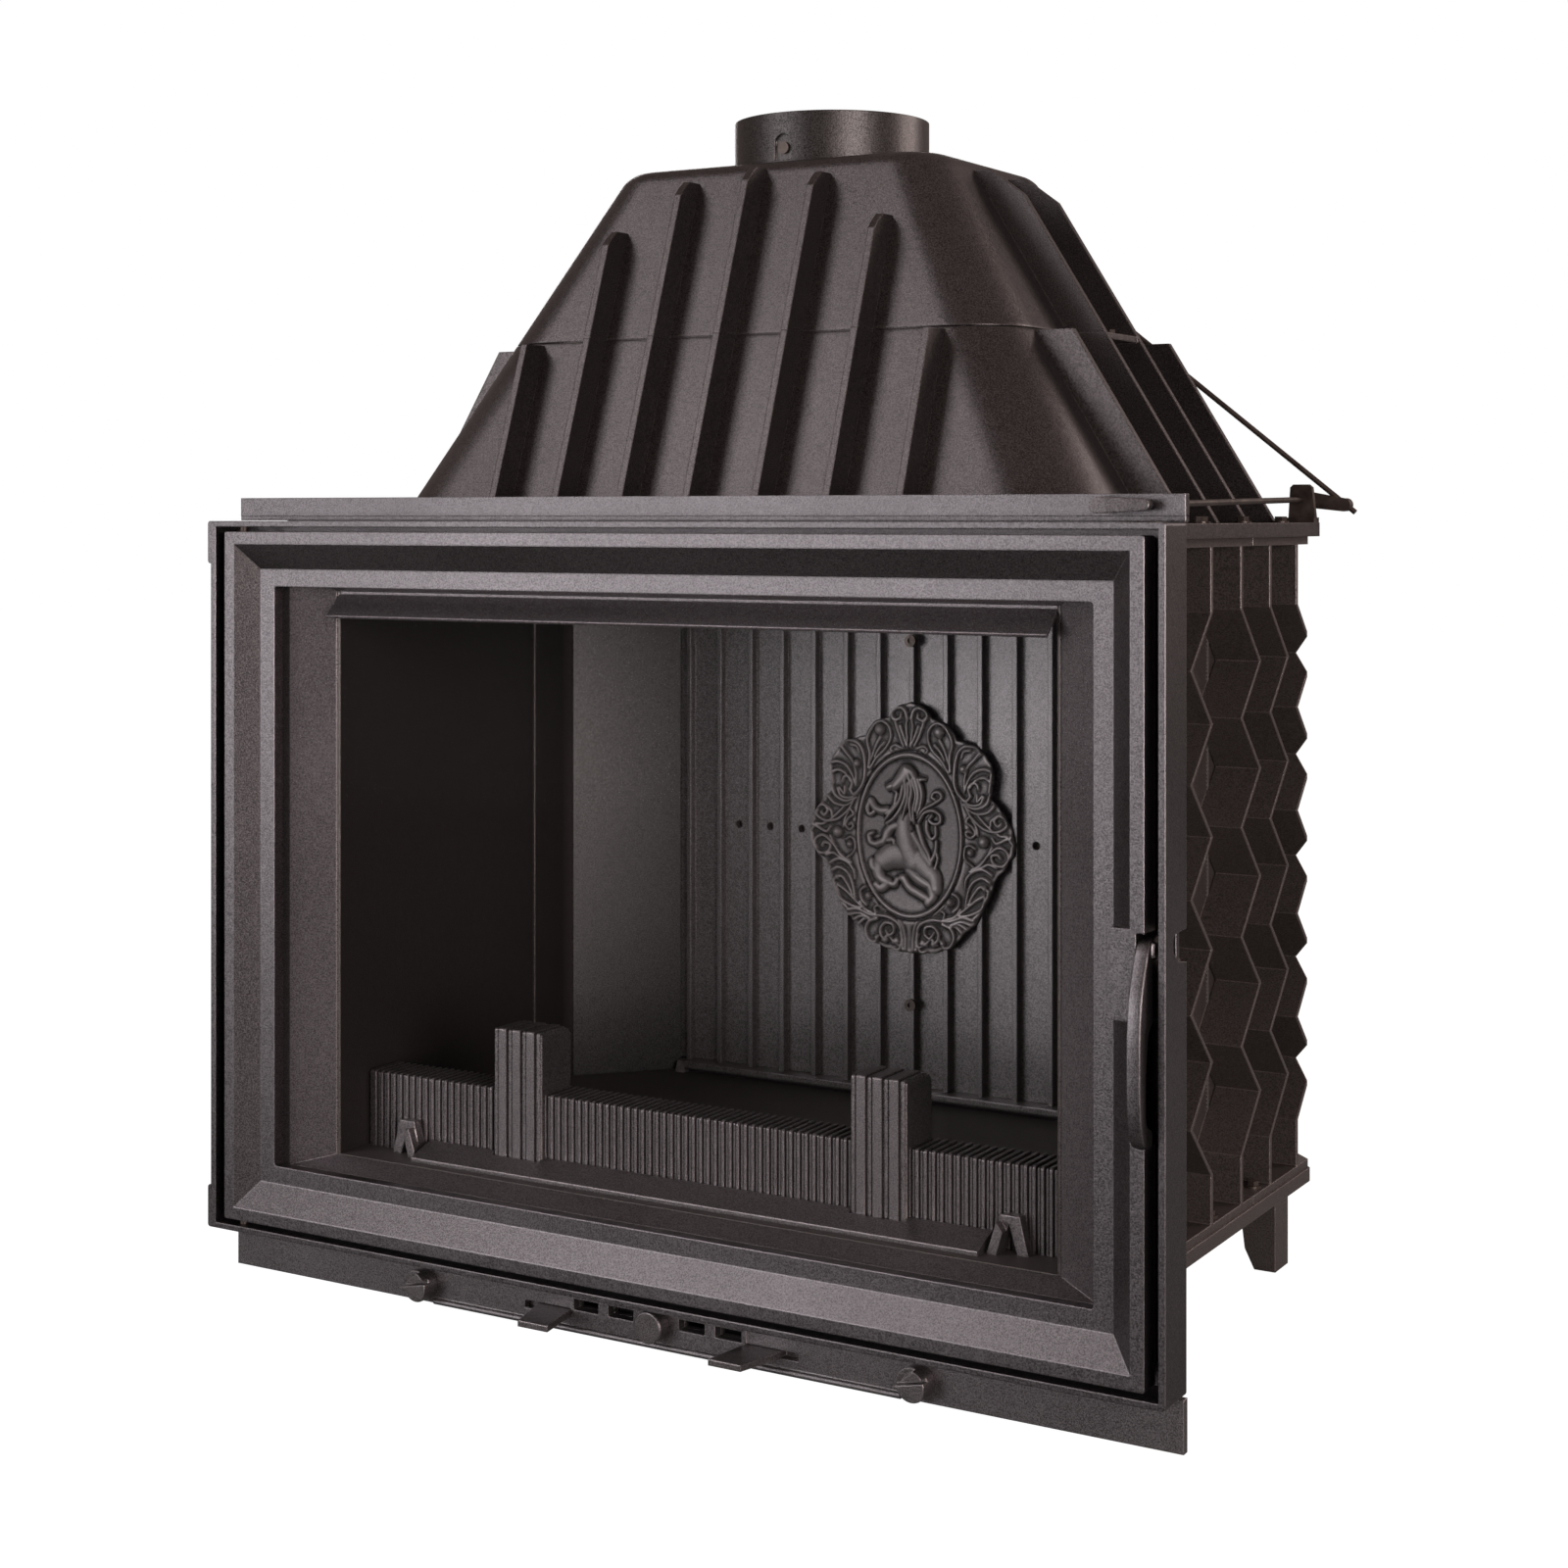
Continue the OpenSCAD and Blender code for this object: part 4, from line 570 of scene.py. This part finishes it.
def stroke_points(numbers):
    """A smooth curve through x, z pairs: Catmull-Rom, p(t) = the sum of the four nearest points by
    their cubic weights.

    Returns an array of (x, z) rows and the share of the way along for each."""
    knots = np.array(numbers, float).reshape(-1, 2)
    knots = np.vstack([2 * knots[:1] - knots[1:2], knots, 2 * knots[-1:] - knots[-2:-1]])
    spans = len(knots) - 3
    way = np.linspace(0, spans - 1e-6, SAMPLES * spans + 1)
    left = way.astype(int)
    t = (way - left)[:, None]
    weights = np.hstack([-t + 2 * t**2 - t**3, 2 - 5 * t**2 + 3 * t**3,
                         t + 4 * t**2 - 3 * t**3, t**3 - t**2]) / 2
    return np.einsum("ij,ijk->ik", weights, knots[left[:, None] + np.arange(4)]), way / spans


def carve(x, z, strokes, height):
    """Raises height to h * (1 - (d / r) ** 2) ** power round each stroke, with d the distance to
    its middle line and r its radius there.

    A stroke is its first and last radius, its h, and the x, z pairs of its middle line, in mm."""
    for first, last, rise, *numbers in strokes:
        line, share = stroke_points(numbers)
        radius = first + (last - first) * share
        reach = max(first, last)
        low, high = line.min(0) - reach, line.max(0) + reach
        near = np.nonzero((x > low[0]) & (x < high[0]) & (z > low[1]) & (z < high[1]))[0]
        if len(near):
            gap = np.hypot(x[near, None] - line[:, 0], z[near, None] - line[:, 1]) / radius
            raised = rise * np.clip(1 - gap.min(1) ** 2, 0, 1) ** STROKE_POWER
            height[near] = np.maximum(height[near], raised)
    return height


def crest_height(x, z):
    """Height over the crest's back, in mm. With q the share of the oval's radius: a dished field
    1.6 + 3 * q ** 4 that carries the beast, a round bead at q = 1, and a border outside it that
    carries the scrolls and the pearls, which are a radius, a height and a place, on both sides."""
    q = np.hypot(x / OVAL_HALF_WIDTH, (z - OVAL_MIDDLE) / OVAL_HALF_HEIGHT)
    outside = carve(-x, z, SCROLLS, carve(x, z, SCROLLS, np.zeros_like(x)))
    for side in (-1, 1):
        for radius, rise, px, pz in PEARLS:
            near = 1 - (np.hypot(x - side * px, z - pz) / radius) ** 2
            outside = np.maximum(outside, rise * np.sqrt(np.clip(near, 0, 1)))
    stem = np.clip(1 - (np.abs(x) / np.interp(z, STEM_LEVELS, STEM_HALVES)) ** 2, 0, 1)
    outside = np.maximum(outside, STEM_HEIGHT * stem * (z < STEM_TOP))
    inside = carve(x, z, BEAST, np.zeros_like(x)) * (q < BEAST_END)
    collar = COLLAR_LEVEL + COLLAR_SWELL * np.clip(1 - (q - COLLAR_AT) / COLLAR_WIDTH, 0, 1)
    bead = BEAD_HEIGHT * np.sqrt(np.clip(1 - ((q - 1.0) / BEAD_HALF) ** 2, 0, 1))
    field = FIELD_LEVEL + FIELD_DISH * q**4 + np.maximum(bead, inside)
    step = np.clip((q - STEP_AT) / STEP_WIDTH, 0, 1)
    border = BORDER_LEVEL + (collar - BORDER_LEVEL) * step + outside * step
    return np.where(q < FIELD_END, field, border)


ANGLES, RINGS = 720, 125
SCALLOPS, SCALLOP_DEPTH = 27, 0.8
EDGE_LEVEL, EDGE_ROUND = 0.6, 2.2
MEAN_ROWS = 4
RAISED_FLAT, RAISED_RIDGE, RAISED_HEIGHT = 0.42, 0.7, 0.06


def polar_plate(name, outline, height_of, back_y, middle):
    """A closed carved plate: point(s, a) = middle + s * R(a) * (cos a, sin a), s from 0 to 1, at
    height_of(x, z). R(a) is the outline's radius, read between its points by angle.

    The attribute raised is high on ridges and low in hollows: the height less its mean near by."""
    points = np.array(outline, float)
    turn = np.arctan2(points[:, 1], points[:, 0])
    radius = np.hypot(points[:, 0], points[:, 1])
    angle = np.linspace(0, 2 * np.pi, ANGLES, endpoint=False)
    folded = np.arcsin(np.sin(angle))
    order = np.argsort(turn)
    edge = (np.interp(folded, turn[order], radius[order])
            + SCALLOP_DEPTH * np.abs(np.sin(SCALLOPS * folded)) - SCALLOP_DEPTH / 2)
    share = np.concatenate([np.linspace(0, 1, RINGS + 1)[1:], [1.0]])
    x = (share[:, None] * edge * np.cos(angle)).ravel()
    z = (share[:, None] * edge * np.sin(angle)).ravel()
    high = height_of(x, z)
    inward = np.clip((1 - np.repeat(share, ANGLES)) * np.tile(edge, len(share)) / EDGE_ROUND, 0, 1)
    high = EDGE_LEVEL + (high - EDGE_LEVEL) * np.sqrt(1 - (1 - inward) ** 2)
    high[-ANGLES:] = 0
    grid = high.reshape(len(share), ANGLES)
    shifts = range(-MEAN_ROWS, MEAN_ROWS + 1, 2)
    wide = np.pad(grid, ((MEAN_ROWS, MEAN_ROWS), (0, 0)), mode="edge")
    mean = sum(wide[MEAN_ROWS + row:MEAN_ROWS + row + len(share)] for row in shifts) / len(shifts)
    mean = sum(np.roll(mean, column, 1) for column in shifts) / len(shifts)
    ridge = np.concatenate([(grid - mean).ravel(), [0, 0]])
    x = np.concatenate([x, [0, 0]])
    z = np.concatenate([z, [0, 0]])
    high = np.concatenate([high, height_of(np.zeros(1), np.zeros(1)), [0]])
    places = np.stack([middle[0] + x / 1000, back_y - high / 1000, middle[1] + z / 1000], 1)
    here = np.arange(ANGLES)
    following = (here + 1) % ANGLES
    last, front = RINGS * ANGLES, np.full(ANGLES, len(x) - 2)
    caps = np.concatenate([np.stack([front, here, following], 1),
                           np.stack([front + 1, last + following, last + here], 1)])
    item = surface(name, places, ring_faces(RINGS + 1, ANGLES)[:, ::-1], caps)
    # The raised attribute is painted light: paler on ridges and high points, a painted highlight,
    # and darker in hollows, a painted shade.
    relief_light_and_shade = RAISED_FLAT + RAISED_RIDGE * ridge + RAISED_HEIGHT * (high - BORDER_LEVEL)
    raised = item.data.attributes.new("raised", "FLOAT", "POINT")
    raised.data.foreach_set("value", np.clip(relief_light_and_shade, 0, 1).astype(np.float32))
    return item


low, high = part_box("crest")
relief = polar_plate("crest_relief", OUTLINE, crest_height, high.y,
                     ((low.x + high.x) / 2, (low.z + high.z) / 2))
# The crest's paint follows the raised attribute: a painted highlight on its ridges and painted
# shade in its hollows.
crest_iron = iron("crest_iron", (0.045, 0.037, 0.037), (0.460, 0.405, 0.402), metal=0.55,
                  rough=0.50, relief=0.10, edge=0.0, relief_shading="raised")
relief.data.materials.append(crest_iron)
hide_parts("crest")
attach(relief, "root")

# Log fence: fluted iron bars that hold the logs back, with two posts, a low ramp and two cleats.
# The posts are slipped over the fence, and all of them stand loose on the hearth.
fence_iron = iron("fence_iron", (0.100, 0.086, 0.087), (0.265, 0.232, 0.233), relief=0.15)
dress(fence_iron, "log_fence", "fence_post_right", "fence_post_left", "cleat_right", "cleat_left",
      "ramp")

# Door: a bevelled cast frame that hangs on two pins at the left and shuts on a sealing rope.
# Clear ceramic glass lies behind it in clips.
door_iron = iron("door_iron", (0.086, 0.0755, 0.0775), (0.216, 0.192, 0.196), metal=1.0, edge=0.9)
dress(door_iron, "door_frame")
dress(rope, "door_rope")
dress(rod_steel, "glass_clips", "hinge_pins", "handle_pin")
SMEAR_DARK = (0.05, 0.05, 0.05, 1)
SMEAR_PALE = (0.10, 0.10, 0.10, 1)
GLASS_FILM = 0.006
glass, wire, shader = new_material("stove_glass")
shader.inputs["Roughness"].default_value = 0.02
shader.inputs["IOR"].default_value = 1.45
shader.inputs["Specular IOR Level"].default_value = 0.25
place = wire.make("ShaderNodeTexCoord", out="Object")
smear = wire.make("ShaderNodeTexNoise", None, {"Vector": place, "Scale": 9.0, "Detail": 4.0})
smear.between(SMEAR_DARK, SMEAR_PALE).into(shader.inputs["Base Color"])
(smear * GLASS_FILM + GLASS_FILM).into(shader.inputs["Alpha"])
dress(glass, "door_glass")

# Handle: a bowed cast lever on a pin through the door's edge, whose nose hooks behind the keeper.
# It is a flat bar with eased edges: a plate at the pivot, a bow before the door and a foot below.
LEVER = [(-24, 421), (-37, 420), (-45, 412.5), (-50, 402), (-55.5, 388), (-59.5, 374.5),
         (-62.3, 357), (-63.6, 339), (-63.8, 320), (-63.4, 300), (-61.8, 281), (-58.5, 267),
         (-54, 259.5), (-47, 255.6), (-40, 256), (-37, 260), (-37, 266), (-40, 269.8),
         (-46, 272.5), (-50, 279), (-51, 291), (-51.3, 304), (-50.5, 316), (-48.5, 326),
         (-47.5, 336), (-45, 346), (-40, 352), (-34, 355), (-24, 356), (-23.2, 375), (-23.2, 400)]
NOSE = [(-34, 404), (-26, 407), (-16, 408), (-15, 411), (-16, 415), (-26, 416), (-36, 418),
        (-39, 416), (-39, 406)]
LEVER_SIDES, NOSE_SIDES = (480, 492), (490, 494.3)
LEVER_EASE = 1.3


def eased_slab(outline, start, end, ease):
    """A flat bar between two planes across X. point(k, a) is outline(k) moved in by
    ease * (1 - cos a), at x = start + ease * (1 - sin a) and at its mirror from end, a from 0 to 90
    degrees.

    Returns its places in mm, its four-sided faces and its two flat ends."""
    along = np.roll(outline, -1, 0) - np.roll(outline, 1, 0)
    inward = np.stack([-along[:, 1], along[:, 0]], 1) / np.linalg.norm(along, axis=1)[:, None]
    turn = np.radians([90, 60, 30, 0])
    depths, moves = ease * (1 - np.sin(turn)), ease * (1 - np.cos(turn))
    x = np.concatenate([start + depths, end - depths[::-1]])
    inset = np.concatenate([moves, moves[::-1]])
    count = len(outline)
    places = np.column_stack([np.repeat(x, count),
                              (outline + inward * inset[:, None, None]).reshape(-1, 2)])
    here = np.arange(count)
    caps = [here[::-1].tolist(), ((len(x) - 1) * count + here).tolist()]
    return places, ring_faces(len(x), count), caps


def slabs(name, shapes, ease):
    """One mesh of several eased flat bars, each given by its outline and its two planes."""
    parts, faces, done = [], [], 0
    for outline, start, end in shapes:
        places, quads, caps = eased_slab(outline, start, end, ease)
        faces += (quads + done).tolist() + [[corner + done for corner in cap] for cap in caps]
        parts.append(places)
        done += len(places)
    mesh = bpy.data.meshes.new(name)
    mesh.from_pydata(in_frame(np.concatenate(parts)).tolist(), [], faces)
    return mesh


def closed_curve(points):
    """The smooth curve of the crest's strokes, run round through all the points. The last point
    joins the first by a straight side."""
    curve = stroke_points(np.ravel([*points[-1:], *points, *points[:2]]))[0]
    return curve[SAMPLES:-2 * SAMPLES]


mesh = slabs("lever", ((closed_curve(LEVER), *LEVER_SIDES), (closed_curve(NOSE), *NOSE_SIDES)),
             LEVER_EASE)
mesh.shade_smooth()
lever = stand("lever", mesh)
mesh.materials.append(door_iron)
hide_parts("handle_lever")
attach(lever, "handle")

# Skirt and air controls: a cast apron with two slides, two turn knobs and one pull knob.
# The pull knob's rod works the ash box's valve. Behind the air windows stand two ducts of bent
# sheet steel, each closed by a cheek at either end: they stand in for the shade behind the
# windows, a painted shade that keeps the pale floor from showing through.
skirt_iron = iron("skirt_iron", (0.098, 0.086, 0.087), (0.250, 0.222, 0.225), edge=0.9)
dress(skirt_iron, "skirt_panel")
control_iron = iron("control_iron", (0.090, 0.077, 0.077), (0.240, 0.210, 0.210), edge=1.2)
dress(control_iron, "air_slide_right", "air_slide_left", "turn_knob_right", "turn_knob_left",
      "pull_knob")
dress(rod_steel, "air_valve")

SHADE_DUCT_INNER, SHADE_DUCT_OUTER = 9.5, 165.0
MOUTH, BACK, BOTTOM, TOP = 10.6, 38, 12.5, 49
SHEET, SHEET_EASE = 1, 0.2
cheek = np.array([(MOUTH, BOTTOM + SHEET), (BACK - SHEET, BOTTOM + SHEET),
                  (BACK - SHEET, TOP - SHEET), (MOUTH, TOP - SHEET)])
channel = np.array([(MOUTH, BOTTOM), (BACK, BOTTOM), (BACK, TOP), (MOUTH, TOP), *cheek[::-1]])
for side in (-1, 1):
    near, far = sorted((side * SHADE_DUCT_INNER, side * SHADE_DUCT_OUTER))
    bars = ((channel, near, far), (cheek, near, near + SHEET), (cheek, far - SHEET, far))
    mesh = slabs("shade_duct", bars, SHEET_EASE)
    shade_duct = stand("shade_duct_right" if side > 0 else "shade_duct_left", mesh)
    mesh.materials.append(sheet_steel)
    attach(shade_duct, "root")

# Damper: a cast knob on a long steel shaft turns an arm behind the hood's corner.
# A rod carries the turn up to the crank on the flap's axle; the flap hangs in the throat plate.
dress(control_iron, "damper_knob")
dress(rod_steel, "damper_shaft", "damper_arm", "link_rod", "flap_crank", "flap_axle",
      "shaft_bracket")
dress(shaded_firebox_iron, "throat_flap")
